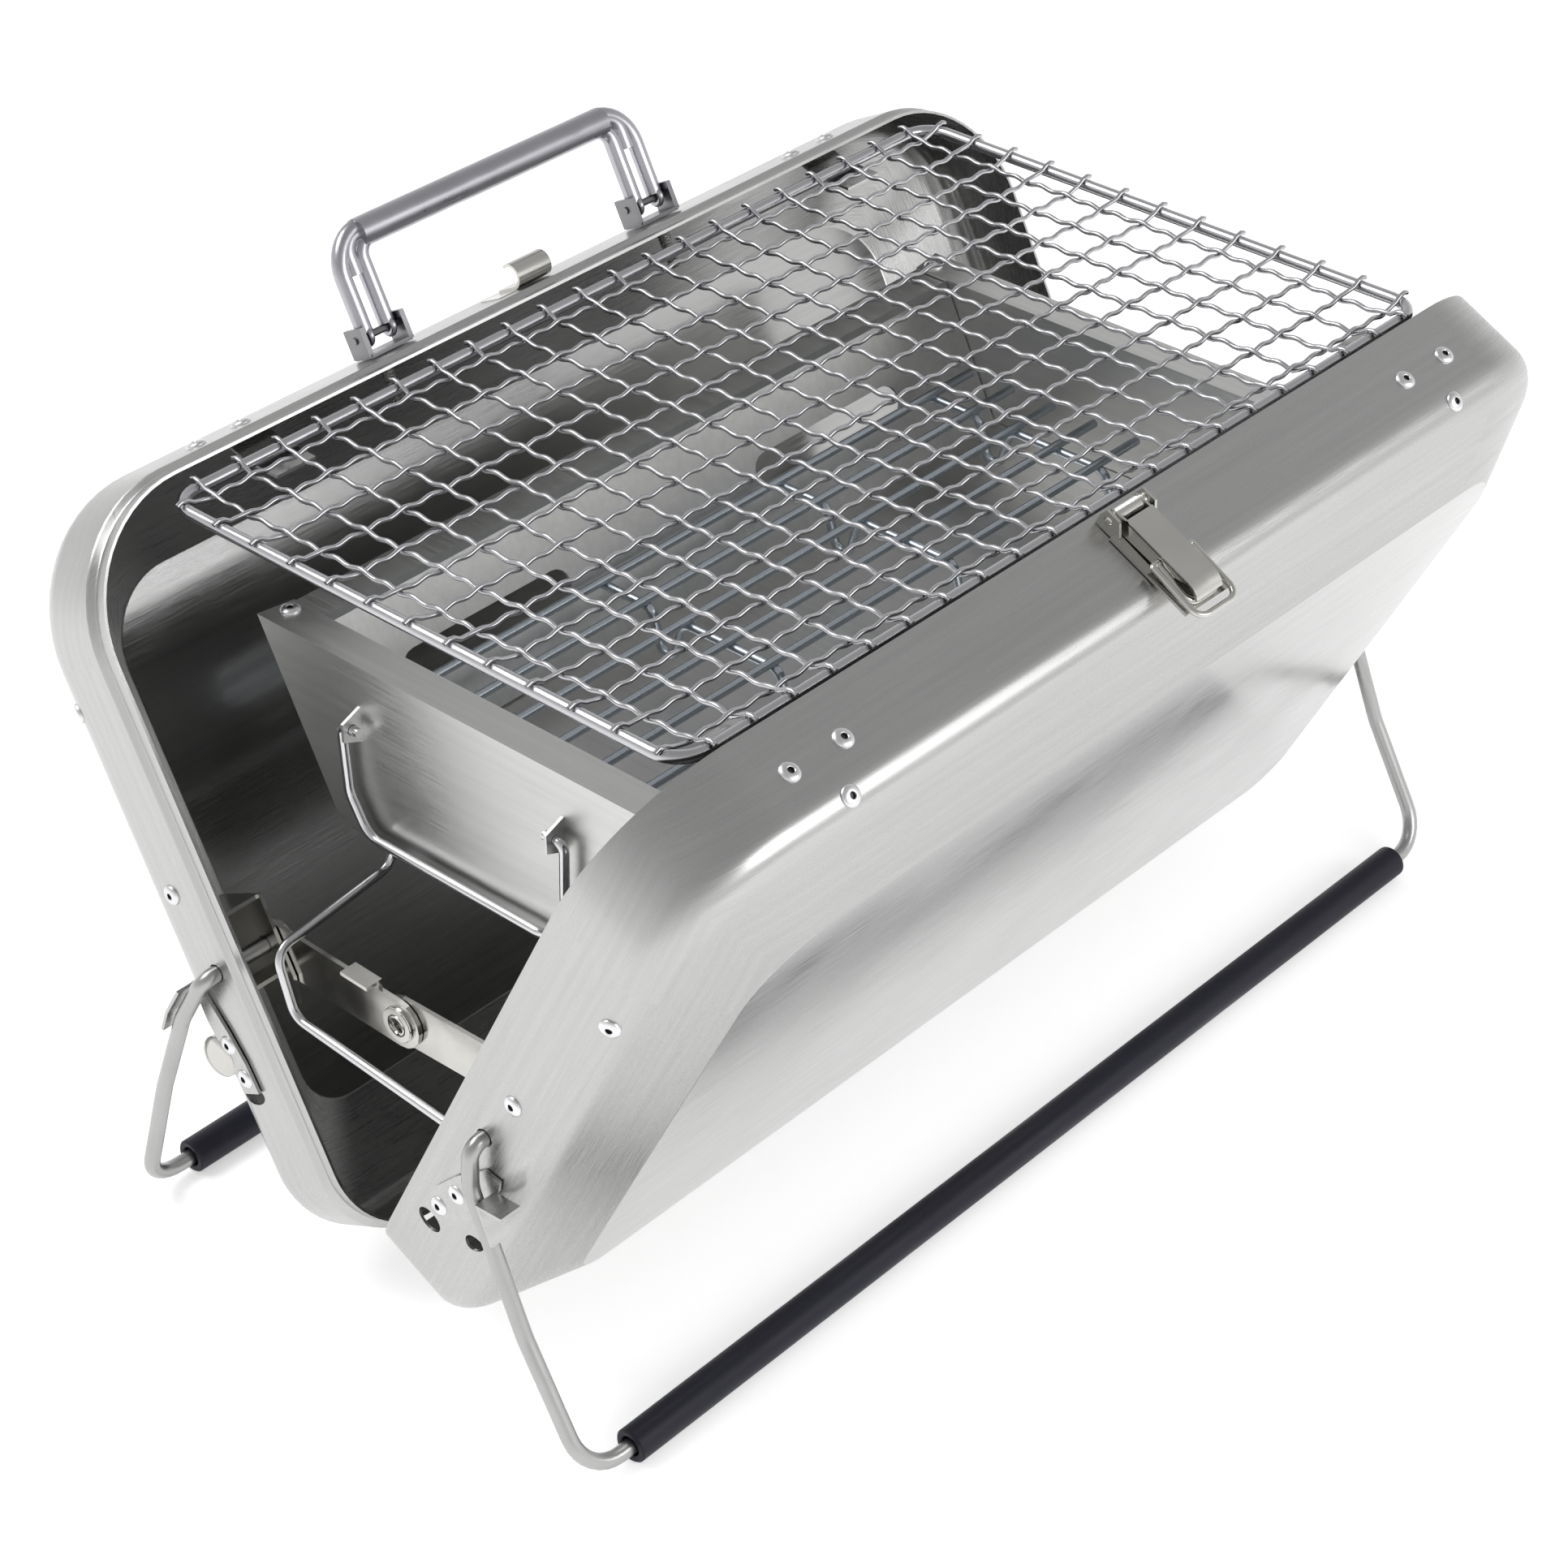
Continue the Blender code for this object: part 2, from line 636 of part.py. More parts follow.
def grid_support(name, side, end):
    """Curved tongue riveted under the top wall that carries the cooking grid."""
    high = SHELL_HEIGHT - SHEET - GAP
    profile = [(0.0260, high), (0.0125, high), (0.0085, high - 0.0008)]
    s, c = math.sin(HALF_OPENING), math.cos(HALF_OPENING)
    for y, z in SUPPORT_TONGUE:
        profile.append((c * y - s * (z - VERTEX_HEIGHT), s * y + c * (z - VERTEX_HEIGHT)))

    def place(a, b, t):
        return shell_point(side, end * SUPPORT_X[side] + t, b, a)

    origin = FOLD_AXIS if side == FRONT else (0, 0, 0)
    add(name, strip(profile, place, -SUPPORT_HALF, SUPPORT_HALF, 0.0010), "steel", origin)


def handle_grip(name):
    """Round bar with two wire legs at each end, eyes at their feet."""
    axis = shell_point(REAR, HANDLE_MIDDLE, HANDLE_U, HANDLE_N)

    def at(x, u):
        return shell_point(REAR, HANDLE_MIDDLE + x, u, HANDLE_N)

    loops = []
    for reach, top, corner in ((HANDLE_HALF + HANDLE_LEG, HANDLE_TOP_U + 0.0016, 0.013),
                               (HANDLE_HALF - HANDLE_LEG, HANDLE_TOP_U - 0.0016, 0.006)):
        path = [at(-reach, HANDLE_U + 0.0015), at(-reach, top), at(reach, top), at(reach, HANDLE_U + 0.0015)]
        loops.append(wire(rounded_path(path, corner, 4), 0.0026, 8))
    bar = HANDLE_HALF - 0.004
    profile = [(0, 0.003), (0.002, 0.0048), (2 * bar - 0.002, 0.0048), (2 * bar, 0.003)]
    item = add(name, turned(at(-bar, HANDLE_TOP_U), (1, 0, 0), profile, 12), "bright", axis)
    eyes = []
    for x in (-HANDLE_HALF, HANDLE_HALF):
        for leg_x in (x - HANDLE_LEG, x + HANDLE_LEG):
            eyes.append(pipe(at(leg_x - 0.0015, HANDLE_U), (1, 0, 0), 0.003, 0.0030, 0.0015, 12))
    combine(item, loops + eyes, "UNION", True)


def handle_bracket(name, end):
    """Foot plate with two ears and the pin that the handle legs turn on."""
    def at(a, b, t):
        return shell_point(REAR, HANDLE_MIDDLE + end * HANDLE_HALF + a, b, HANDLE_N + t)

    base_u = SHELL_HEIGHT + GAP
    ear = HANDLE_LEG + 0.0036
    item = add(name, box_solid(at, -ear, ear, base_u, base_u + 0.0012, -0.0045, 0.0045), "box")
    parts = []
    for x in (-ear, ear):
        parts.append(box_solid(at, x - 0.0009, x + 0.0009, base_u + 0.0004, HANDLE_U + 0.0035, -0.0042, 0.0042))
    parts.append(turned(at(-ear - 0.0015, HANDLE_U, 0), (1, 0, 0), [(0, 0.0012), (2 * ear + 0.003, 0.0012)], 12))
    combine(item, parts, "UNION", True)


def keeper(name):
    """Curled hook for the latch loop."""
    base = SHELL_HEIGHT + GAP
    radius = 0.0042
    profile = [(0.0230, base), (0.0120, base)]
    center = (0.0120, base + radius)
    for i in range(1, 9):
        t = -math.pi / 2 - math.radians(205) * i / 8
        profile.append((center[0] + radius * math.cos(t), center[1] + radius * math.sin(t)))

    def place(a, b, t):
        return shell_point(REAR, KEEPER_X + t, b, a)

    add(name, strip(profile, place, -0.0105, 0.0105, -0.0010), "bright")


def latch_place(a, b, t):
    return shell_point(FRONT, LATCH_X + t, b, a)


def latch_parts():
    base_u = SHELL_HEIGHT + GAP
    pin_n, pin_u = LATCH_PIN
    base = box_solid(latch_place, 0.0085, 0.0390, base_u, base_u + 0.0010, -0.0095, 0.0095)
    item = add("latch_base", base, "bright", FOLD_AXIS)
    parts = []
    for x in (-0.0080, 0.0080):
        ear = [(0.0020, base_u), (0.0110, base_u), (0.0110, base_u + 0.0010), (0.0080, pin_u + 0.0028)]
        ear += [(0.0030, pin_u + 0.0028), (0.0020, pin_u)]
        hole = disc_outline((pin_n, pin_u), 0.0015, 12)
        parts.append(plate(ear, lambda a, b, t, s=x: latch_place(a, b, s + t - 0.0005), 0.0010, (hole,)))
    combine(item, parts, "UNION", True)
    pin_base = latch_place(pin_n, pin_u, -0.0110)
    profile = [(0, 0.0020), (0.0016, 0.0020), (0.0016, 0.0012), (0.0204, 0.0012), (0.0204, 0.0020), (0.0220, 0.0020)]
    add("latch_pin", turned(pin_base, (1, 0, 0), profile, 12), "bright", FOLD_AXIS)
    lever()
    loop()


def lever():
    """Pressed lever: rolled eye on the pin, plate with folded sides, lifted lip at its end."""
    pin_n, pin_u = LATCH_PIN
    top = pin_u + 0.0028
    profile = [(pin_n + 0.0010, top - 0.0010), (0.0340, top - 0.0010), (0.0375, top + 0.0002), (0.0395, top + 0.0022)]
    item = add("latch_lever", strip(profile, latch_place, -0.0066, 0.0066, 0.0010), "bright",
               shell_point(FRONT, LATCH_X, pin_u, pin_n))
    parts = [pipe(latch_place(pin_n, pin_u, -0.0066), (1, 0, 0), 0.0132, 0.0028, 0.0015, 12)]
    for x in (-0.0066, 0.0058):
        cheek = [(pin_n + 0.0030, top - 0.0032), (0.0310, top - 0.0032)]
        cheek += [(0.0330, top - 0.0002), (pin_n + 0.0020, top - 0.0002)]
        parts.append(plate(cheek, lambda a, b, t, s=x: latch_place(a, b, s + t), 0.0008))
    combine(item, parts, "UNION", True)


def loop():
    """Wire bail round the lever, its closed end beyond the lever's lip."""
    n, u = LOOP_SPOT
    reach, end_n = 0.0088, 0.0445
    points = [latch_place(n, u, -0.0071), latch_place(n, u, -reach), latch_place(end_n, u - 0.0010, -reach)]
    points += [latch_place(end_n, u - 0.0010, reach), latch_place(n, u, reach), latch_place(n, u, 0.0071)]
    add("latch_loop", wire(rounded_path(points, 0.0032, 3), 0.0010, 8), "bright",
        shell_point(FRONT, LATCH_X, u, n))


# ---- fire box ----

def box_side_y(z):
    part = (z - BOX_BOTTOM_Z) / (BOX_TOP_Z - BOX_BOTTOM_Z)
    return BOX_BOTTOM_Y + (BOX_TOP_Y - BOX_BOTTOM_Y) * part


def firebox_end(name, end):
    """Trapezoid end plate with an inward top flange and two lugs for the bail."""
    def place(a, b, t):
        return Vector((end * (BOX_HALF + t), a, b))

    clip = 0.004
    low, high = BOX_BOTTOM_Z, BOX_TOP_Z
    shape = [(-box_side_y(high), high), (-box_side_y(low + clip), low + clip), (-BOX_BOTTOM_Y + clip, low)]
    shape += [(-y, z) for y, z in reversed(shape)]
    item = add(name, plate(shape, place, BOX_SHEET), "box")
    sheet = BOX_SHEET
    flange = [(-BOX_TOP_Y, 0.4 * sheet), (BOX_TOP_Y, 0.4 * sheet)]
    flange += [(BOX_TOP_Y - 0.002, -BOX_FLANGE), (-BOX_TOP_Y + 0.002, -BOX_FLANGE)]
    parts = [plate(flange, lambda a, b, t: Vector((end * (BOX_HALF + b), a, high - sheet + t)), sheet)]
    for y in (-BAIL_Y, BAIL_Y):
        lug = [(0.4 * sheet, BAIL_Z - 0.006), (0.0065, BAIL_Z - 0.003), (0.0065, BAIL_Z + 0.003), (0.4 * sheet, BAIL_Z + 0.006)]
        hole = disc_outline((BAIL_X - BOX_HALF, BAIL_Z), BAIL_WIRE + 0.0002, 10)
        outer = [(a if a < 0.005 else a + 0.0012, b) for a, b in lug]
        parts.append(plate(outer, lambda a, b, t, s=y: Vector((end * (BOX_HALF + a), s + t - 0.0005, b)), 0.0010, (hole,)))
    combine(item, parts, "UNION", True)


def firebox_side(name, side):
    """Slanted side panel with two air slots and a hemmed top flange."""
    low_z, high_z = FLOOR_Z + BOX_SHEET + GAP, BOX_TOP_Z - BOX_SHEET - GAP
    slope = Vector((0, side * (BOX_TOP_Y - BOX_BOTTOM_Y), BOX_TOP_Z - BOX_BOTTOM_Z)).normalized()
    normal = Vector((0, -side * slope.z, abs(slope.y)))
    foot = Vector((0, side * (box_side_y(low_z) - 0.0006), low_z))
    rise = (high_z - low_z) / slope.z
    half = BOX_HALF - GAP

    def place(a, b, t):
        return foot + Vector((a, 0, 0)) + slope * b + normal * t

    slots = []
    for x in (-0.077, 0.077):
        slots.append(slot_outline((x, 0.40 * rise), 0.029, 0.0058))
    shape = [(-half, 0), (half, 0), (half, rise - 0.002), (-half, rise - 0.002)]
    item = add(name, plate(shape, place, BOX_SHEET, slots), "box")
    top = place(0, rise, 0)
    y0, y1 = side * (abs(top.y) - 0.0003), side * (abs(top.y) - SIDE_FLANGE)
    y2 = y1 + side * 0.0012
    rim = BOX_SHEET
    parts = []
    profile = [(y0, high_z - rim), (y1, high_z - rim), (y1, high_z), (y0, high_z)]
    parts.append(plate(profile, lambda a, b, t: Vector((t - half, a, b)), 2 * half))
    knee = place(0, rise - 0.0035, 0)
    web = [(knee.y, knee.z), (y0, high_z), (y0 - side * 0.0011, high_z), (knee.y - side * 0.0009, knee.z)]
    parts.append(plate(web, lambda a, b, t: Vector((t - half, a, b)), 2 * half))
    hem = [(y1, high_z - 0.0030), (y2, high_z - 0.0030), (y2, high_z - 0.0002), (y1, high_z - 0.0002)]
    parts.append(plate(hem, lambda a, b, t: Vector((t - half + 0.013, a, b)), 2 * half - 0.026))
    combine(item, parts, "UNION", True)


def firebox_floor(name):
    half_y = box_side_y(FLOOR_Z)
    half = BOX_HALF - GAP
    shape = [(-half, -half_y), (half, -half_y), (half, half_y), (-half, half_y)]
    add(name, plate(shape, lambda a, b, t: Vector((a, b, FLOOR_Z + t)), BOX_SHEET), "box")


def bail(name, end):
    """Wire carrying bail, its ends turned in through the lugs."""
    x = end * BAIL_X
    half = [(-BAIL_Y + 0.0035, BAIL_Z), (-BAIL_Y - 0.0040, BAIL_Z), (-BAIL_Y - 0.0030, 0.150), (-BAIL_Y + 0.0040, 0.1375)]
    points = [Vector((x, y, z)) for y, z in half] + [Vector((x, -y, z)) for y, z in reversed(half)]
    add(name, wire(rounded_path(points, 0.006, 3), BAIL_WIRE, 8), "bright", (x, 0, BAIL_Z))


def charcoal_grate(name):
    """Welded rods along X on cross wires bent down into V feet."""
    runs = []
    for i in range(-3, 4):
        y = i * GRATE_PITCH
        runs.append(wire([(-GRATE_HALF, y, GRATE_Z), (GRATE_HALF, y, GRATE_Z)], GRATE_WIRE, 6))
    low = FLOOR_Z + BOX_SHEET + GAP + GRATE_WIRE
    under = GRATE_Z - 1.4 * GRATE_WIRE
    reach = 3 * GRATE_PITCH + 0.002
    for x in (-0.115, -0.040, 0.040, 0.115):
        path = [(x, -reach, under)]
        for y in (-0.0260, 0.0260):
            path += [(x, y - 0.0068, under), (x, y, low), (x, y + 0.0068, under)]
        path.append((x, reach, under))
        runs.append(wire(rounded_path(path, 0.004, 3), GRATE_WIRE, 6))
    item = add(name, runs[0], "bright")
    combine(item, runs[1:], "UNION", True)


# ---- cooking grid ----

def woven_wire(fixed, crossings, half, along_x, phase):
    """One crimped wire passing over and under the wires across it."""
    points = []
    for k in range(crossings):
        along = (k - (crossings - 1) / 2) * GRID_PITCH
        rise = GRID_RISE if (k + phase) % 2 else -GRID_RISE
        points.append((along, GRID_Z + rise))
    points = [(-half, GRID_Z)] + points + [(half, GRID_Z)]
    if along_x:
        return wire([(a, fixed, z) for a, z in points], GRID_WIRE, 4)
    return wire([(fixed, a, z) for a, z in points], GRID_WIRE, 4)


def cooking_grid(name):
    """Crimped wire mesh welded into a round wire frame."""
    corners = []
    radius = GRID_CORNER
    for quarter, (sx, sy) in enumerate(((1, 1), (-1, 1), (-1, -1), (1, -1))):
        for i in range(5):
            t = math.pi / 2 * (quarter + i / 4)
            x = sx * (GRID_HALF_X - radius) + radius * math.cos(t)
            y = sy * (GRID_HALF_Y - radius) + radius * math.sin(t)
            corners.append((x, y, GRID_Z))
    frame = wire(corners, GRID_FRAME_WIRE, 8, closed=True)
    item = add(name, frame, "bright")
    strands = []
    for j in range(WIRES_ALONG_X):
        y = (j - (WIRES_ALONG_X - 1) / 2) * GRID_PITCH
        strands.append(woven_wire(y, WIRES_ALONG_Y, GRID_HALF_X, True, j % 2))
    for k in range(WIRES_ALONG_Y):
        x = (k - (WIRES_ALONG_Y - 1) / 2) * GRID_PITCH
        strands.append(woven_wire(x, WIRES_ALONG_X, GRID_HALF_Y, False, (k + 1) % 2))
    combine(item, strands, "UNION", True)


def shade_round_pieces():
    for item in bpy.data.objects:
        item.data.shade_smooth()
        item.data.set_sharp_from_angle(angle=SHARP_ANGLE)


def main():
    clear_scene()
    shell("rear_shell", REAR)
    shell("front_shell", FRONT)
    for side, word in ((FRONT, "front"), (REAR, "rear")):
        leg(word + "_leg", side)
        sleeve(word + "_sleeve", side)
        for end, place in ((-1, "near"), (1, "far")):
            collar(f"pin_collar_{word}_{place}", side, end)
            pivot_bracket(f"pivot_bracket_{word}_{place}", side, end)
            leg_stop(f"leg_stop_{word}_{place}", side, end)
            stay_link(f"stay_link_{word}_{place}", side, end)
            grid_support(f"grid_support_{word}_{place}", side, end)
            hinge_leaf(f"hinge_leaf_{word}_{place}", side, end)
        firebox_side("firebox_side_" + word, side)
    for end, place in ((-1, "near"), (1, "far")):
        rest_wire("rest_wire_" + place, end)
        hinge_pin("hinge_pin_" + place, end)
        handle_bracket("handle_bracket_" + place, end)
        firebox_end("firebox_end_" + place, end)
        bail("firebox_bail_" + place, end)
    handle_grip("handle_grip")
    keeper("keeper")
    latch_parts()
    firebox_floor("firebox_floor")
    charcoal_grate("charcoal_grate")
    cooking_grid("cooking_grid")
    shade_round_pieces()


main()
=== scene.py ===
import math

import bmesh
import bpy
from mathutils import Matrix, Vector


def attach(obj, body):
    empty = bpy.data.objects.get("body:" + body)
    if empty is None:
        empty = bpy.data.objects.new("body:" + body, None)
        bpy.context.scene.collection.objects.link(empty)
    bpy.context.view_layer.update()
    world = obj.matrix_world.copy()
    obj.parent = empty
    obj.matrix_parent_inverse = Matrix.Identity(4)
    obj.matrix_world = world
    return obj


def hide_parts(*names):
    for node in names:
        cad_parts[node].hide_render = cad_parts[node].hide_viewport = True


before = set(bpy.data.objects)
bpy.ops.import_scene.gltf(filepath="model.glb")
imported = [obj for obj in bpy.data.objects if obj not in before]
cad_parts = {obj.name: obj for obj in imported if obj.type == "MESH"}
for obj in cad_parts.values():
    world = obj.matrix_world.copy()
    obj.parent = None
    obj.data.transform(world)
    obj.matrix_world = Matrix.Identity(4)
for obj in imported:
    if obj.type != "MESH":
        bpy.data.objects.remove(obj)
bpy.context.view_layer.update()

# ---- the grill's own dimensions, in metres ----
FRONT, REAR = -1, 1
BODY = {FRONT: "front", REAR: "rear"}
HALF_OPENING = math.radians(27.0)
VERTEX_HEIGHT = 0.0261
CASE_HALF = 0.200
CASE_HEIGHT = 0.234
CASE_DEPTH = 0.046
WALL_DEPTH = 0.031
PANEL_INSET = 0.0306
WALL_FLAT, WALL_BEND = 0.0235, 0.0120
SHEET = 0.0009
PIN_U, PIN_N = 0.095, 0.0135
LEG_PLANE, LEG_END, LEG_WIRE_RADIUS = 0.2055, 0.1735, 0.0025
SLEEVE_RADIUS, SLEEVE_BORE, SLEEVE_HALF = 0.0055, 0.0033, 0.1885
FOOT_Y = 0.0948
LEG_KNEES = {FRONT: ((0.0816, 0.0194), (0.0502, 0.0558)), REAR: ((0.0831, 0.0323), (0.0601, 0.0586))}
GRID_Z, GRID_PITCH, GRID_HALF_X, GRID_HALF_Y = 0.2290, 0.0154, 0.1645, 0.0990
GRID_ROWS, GRID_COLUMNS = 13, 21
GRID_WIRE_RADIUS, GRID_FRAME_RADIUS, GRID_CORNER = 0.00077, 0.0020, 0.010
SHELL_SHARP = 24
# slots and relief holes of the end walls: (u, n, stretch along n, radius)
WALL_HOLES = {FRONT: ((0.0440, 0.0110, 1.3, 0.0034), (0.0530, 0.0262, 1.0, 0.0030)),
              REAR: ((0.0546, 0.0215, 1.7, 0.0030),)}
PIN_HOLE_RADIUS, CUTTER_LENGTH = 0.0029, 0.008
ENDS = ((-1, "near"), (1, "far"))


def place(side, x, u, n):
    """World point from case coordinates: u up the shell, n outward from its rim plane."""
    s, c = math.sin(HALF_OPENING), math.cos(HALF_OPENING)
    return Vector((x, side * (s * u + c * n), VERTEX_HEIGHT + c * u - s * n))


def case_matrix(side):
    s, c = math.sin(HALF_OPENING), math.cos(HALF_OPENING)
    return Matrix(((1, 0, 0, 0), (0, side * s, side * c, 0), (0, c, -s, VERTEX_HEIGHT), (0, 0, 0, 1)))


# ---- materials ----
EVEN = (1, 1, 1)

def node_material(name, color, metallic, roughness):
    made = bpy.data.materials.new(name)
    made.use_nodes = True
    tree = made.node_tree
    shader = tree.nodes["Principled BSDF"]
    shader.inputs["Base Color"].default_value = (*color, 1)
    shader.inputs["Metallic"].default_value = metallic
    shader.inputs["Roughness"].default_value = roughness
    return made, tree, shader


def noise(tree, coordinates, scale, stretch, detail=3.0):
    mapping = tree.nodes.new("ShaderNodeMapping")
    mapping.inputs["Scale"].default_value = stretch
    tree.links.new(coordinates, mapping.inputs["Vector"])
    made = tree.nodes.new("ShaderNodeTexNoise")
    made.inputs["Scale"].default_value = scale
    made.inputs["Detail"].default_value = detail
    tree.links.new(mapping.outputs["Vector"], made.inputs["Vector"])
    return made.outputs["Fac"]


def remap(tree, value, low, high, start=0.3, stop=0.7):
    made = tree.nodes.new("ShaderNodeMapRange")
    for name, number in (("From Min", start), ("From Max", stop), ("To Min", low), ("To Max", high)):
        made.inputs[name].default_value = number
    tree.links.new(value, made.inputs["Value"])
    return made.outputs["Result"]


def bump(tree, shader, height, strength, distance, below=None):
    made = tree.nodes.new("ShaderNodeBump")
    made.inputs["Strength"].default_value = strength
    made.inputs["Distance"].default_value = distance
    tree.links.new(height, made.inputs["Height"])
    if below is not None:
        tree.links.new(below.outputs["Normal"], made.inputs["Normal"])
    tree.links.new(made.outputs["Normal"], shader.inputs["Normal"])
    return made


def tint(tree, shader, value, dark, light):
    made = tree.nodes.new("ShaderNodeMix")
    made.data_type = "RGBA"
    made.inputs["A"].default_value = (*dark, 1)
    made.inputs["B"].default_value = (*light, 1)
    tree.links.new(value, made.inputs["Factor"])
    tree.links.new(made.outputs["Result"], shader.inputs["Base Color"])


def brushed_steel(name, color, roughness, grain, anisotropy, use_uv):
    """Steel with fine grain, faint smudges and a soft large waviness of the sheet."""
    made, tree, shader = node_material(name, color, 1.0, roughness)
    texture = tree.nodes.new("ShaderNodeTexCoord")
    across = texture.outputs["UV"] if use_uv else texture.outputs["Object"]
    body = texture.outputs["Object"]
    stretch = (0.02, 1, 1) if grain == "x" else (1, 0.02, 1)
    lines = noise(tree, across, 2600, stretch, detail=2.0)
    broad = noise(tree, across, 420, stretch)
    smudge = noise(tree, body, 14, EVEN, detail=4.0)
    total = tree.nodes.new("ShaderNodeMath")
    total.operation = "ADD"
    tree.links.new(remap(tree, lines, -0.05, 0.06), total.inputs[0])
    tree.links.new(remap(tree, smudge, roughness - 0.03, roughness + 0.05), total.inputs[1])
    tree.links.new(total.outputs["Value"], shader.inputs["Roughness"])
    tint(tree, shader, broad, tuple(0.86 * v for v in color), tuple(min(1, 1.07 * v) for v in color))
    wave = bump(tree, shader, noise(tree, body, 9, EVEN, detail=1.0), strength=0.25, distance=0.0009)
    bump(tree, shader, lines, strength=0.04, distance=0.00005, below=wave)
    if anisotropy:
        shader.inputs["Anisotropic"].default_value = anisotropy
        tangent = tree.nodes.new("ShaderNodeTangent")
        tangent.direction_type = "UV_MAP"
        tree.links.new(tangent.outputs["Tangent"], shader.inputs["Tangent"])
    return made


def drawn_wire(name, color, roughness):
    """Plated wire: bright, with faint drawing marks and slightly dull patches."""
    made, tree, shader = node_material(name, color, 1.0, roughness)
    body = tree.nodes.new("ShaderNodeTexCoord").outputs["Object"]
    patches = noise(tree, body, 90, EVEN)
    tree.links.new(remap(tree, patches, roughness - 0.04, roughness + 0.10), shader.inputs["Roughness"])
    tint(tree, shader, noise(tree, body, 35, EVEN, detail=2.0), tuple(0.84 * v for v in color), color)
    bump(tree, shader, noise(tree, body, 900, EVEN, detail=2.0), strength=0.12, distance=0.00005)
    return made


def foot_rubber(name):
    made, tree, shader = node_material(name, (0.005, 0.005, 0.012), 0.0, 0.46)
    shader.inputs["Specular IOR Level"].default_value = 0.32
    body = tree.nodes.new("ShaderNodeTexCoord").outputs["Object"]
    patches = noise(tree, body, 60, (0.3, 1, 1), detail=4.0)
    tree.links.new(remap(tree, patches, 0.36, 0.60), shader.inputs["Roughness"])
    tint(tree, shader, noise(tree, body, 26, EVEN), (0.003, 0.003, 0.009), (0.008, 0.008, 0.020))
    weave = noise(tree, body, 1800, (0.2, 1, 1), detail=2.0)
    bump(tree, shader, weave, strength=0.25, distance=0.00012)
    return made


CASE_STEEL = brushed_steel("case_steel", (0.50, 0.50, 0.495), 0.27, "x", 0.55, True)
PANEL_STEEL = brushed_steel("panel_steel", (0.54, 0.54, 0.535), 0.17, "x", 0.25, True)
SHEET_STEEL = brushed_steel("sheet_steel", (0.50, 0.50, 0.49), 0.26, "x", 0.0, False)
FIREBOX_STEEL = brushed_steel("firebox_steel", (0.66, 0.66, 0.65), 0.36, "y", 0.0, False)
LEG_STEEL = drawn_wire("leg_wire_satin_steel", (0.46, 0.46, 0.455), 0.30)
HANDLE_STEEL = drawn_wire("handle_satin_steel", (0.47, 0.47, 0.50), 0.27)
DARK_STEEL = drawn_wire("handle_foot_dark_steel", (0.25, 0.25, 0.26), 0.32)
BRIGHT_WIRE = drawn_wire("bright_wire_chrome", (0.66, 0.66, 0.67), 0.15)
GRID_WIRE = drawn_wire("grid_wire_chrome", (0.56, 0.56, 0.58), 0.20)
GRATE_WIRE = drawn_wire("grate_wire_steel", (0.52, 0.57, 0.62), 0.24)
NICKEL = drawn_wire("nickel_plate", (0.62, 0.61, 0.58), 0.19)
RIVET_METAL = drawn_wire("rivet_aluminium", (0.80, 0.80, 0.81), 0.28)
# Near-black colour of the rivet holes: mandrel steel at the bottom, darkened as painted shade over the whole
# hole, its aluminium walls included.
MANDREL_AND_HOLE_SHADE = drawn_wire("rivet_mandrel_with_painted_hole_shade", (0.10, 0.10, 0.11), 0.45)
RUBBER = foot_rubber("foot_rubber_black")


# ---- small tools ----

def finish_piece(item, body, nodes=()):
    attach(item, body)
    if nodes:
        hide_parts(*nodes)
    return item


def mesh_piece(name, work, metal, body, nodes=(), smooth=35):
    """Turns a bmesh into a smooth-shaded piece of the grill."""
    data = bpy.data.meshes.new(name)
    work.to_mesh(data)
    work.free()
    data.shade_smooth()
    data.set_sharp_from_angle(angle=math.radians(smooth))
    item = bpy.data.objects.new(name, data)
    bpy.context.collection.objects.link(item)
    for look in metal if isinstance(metal, (list, tuple)) else (metal,):
        data.materials.append(look)
    return finish_piece(item, body, nodes)


def rounded_path(points, radii, steps=6):
    """A polyline with each inner corner turned into an arc."""
    pts = [Vector(p) for p in points]
    if not isinstance(radii, (list, tuple)):
        radii = [radii] * (len(pts) - 2)
    out = [pts[0]]
    for before, corner, after, radius in zip(pts, pts[1:], pts[2:], radii):
        a, b = (before - corner).normalized(), (after - corner).normalized()
        half = a.angle(b) / 2
        if half > math.radians(89):
            out.append(corner)
            continue
        reach = min(radius / math.tan(half), 0.49 * min((before - corner).length, (after - corner).length))
        middle = corner + (a + b).normalized() * (reach / math.cos(half))
        start, end = corner + a * reach - middle, corner + b * reach - middle
        swing = start.angle(end)
        for i in range(steps + 1):
            t = i / steps
            spoke = start * math.sin((1 - t) * swing) + end * math.sin(t * swing)
            out.append(middle + spoke / math.sin(swing))
    out.append(pts[-1])
    return out


def wire_piece(name, paths, radius, metal, body, nodes=(), closed=False, sides=3):
    """Round wire along each path."""
    curve = bpy.data.curves.new(name, "CURVE")
    curve.dimensions = "3D"
    curve.bevel_depth = radius
    curve.bevel_resolution = sides
    curve.use_fill_caps = True
    for path in paths:
        spline = curve.splines.new("POLY")
        spline.points.add(len(path) - 1)
        for point, spot in zip(spline.points, path):
            point.co = (*spot, 1)
        spline.use_cyclic_u = closed
    curve.materials.append(metal)
    item = bpy.data.objects.new(name, curve)
    bpy.context.collection.objects.link(item)
    return finish_piece(item, body, nodes)


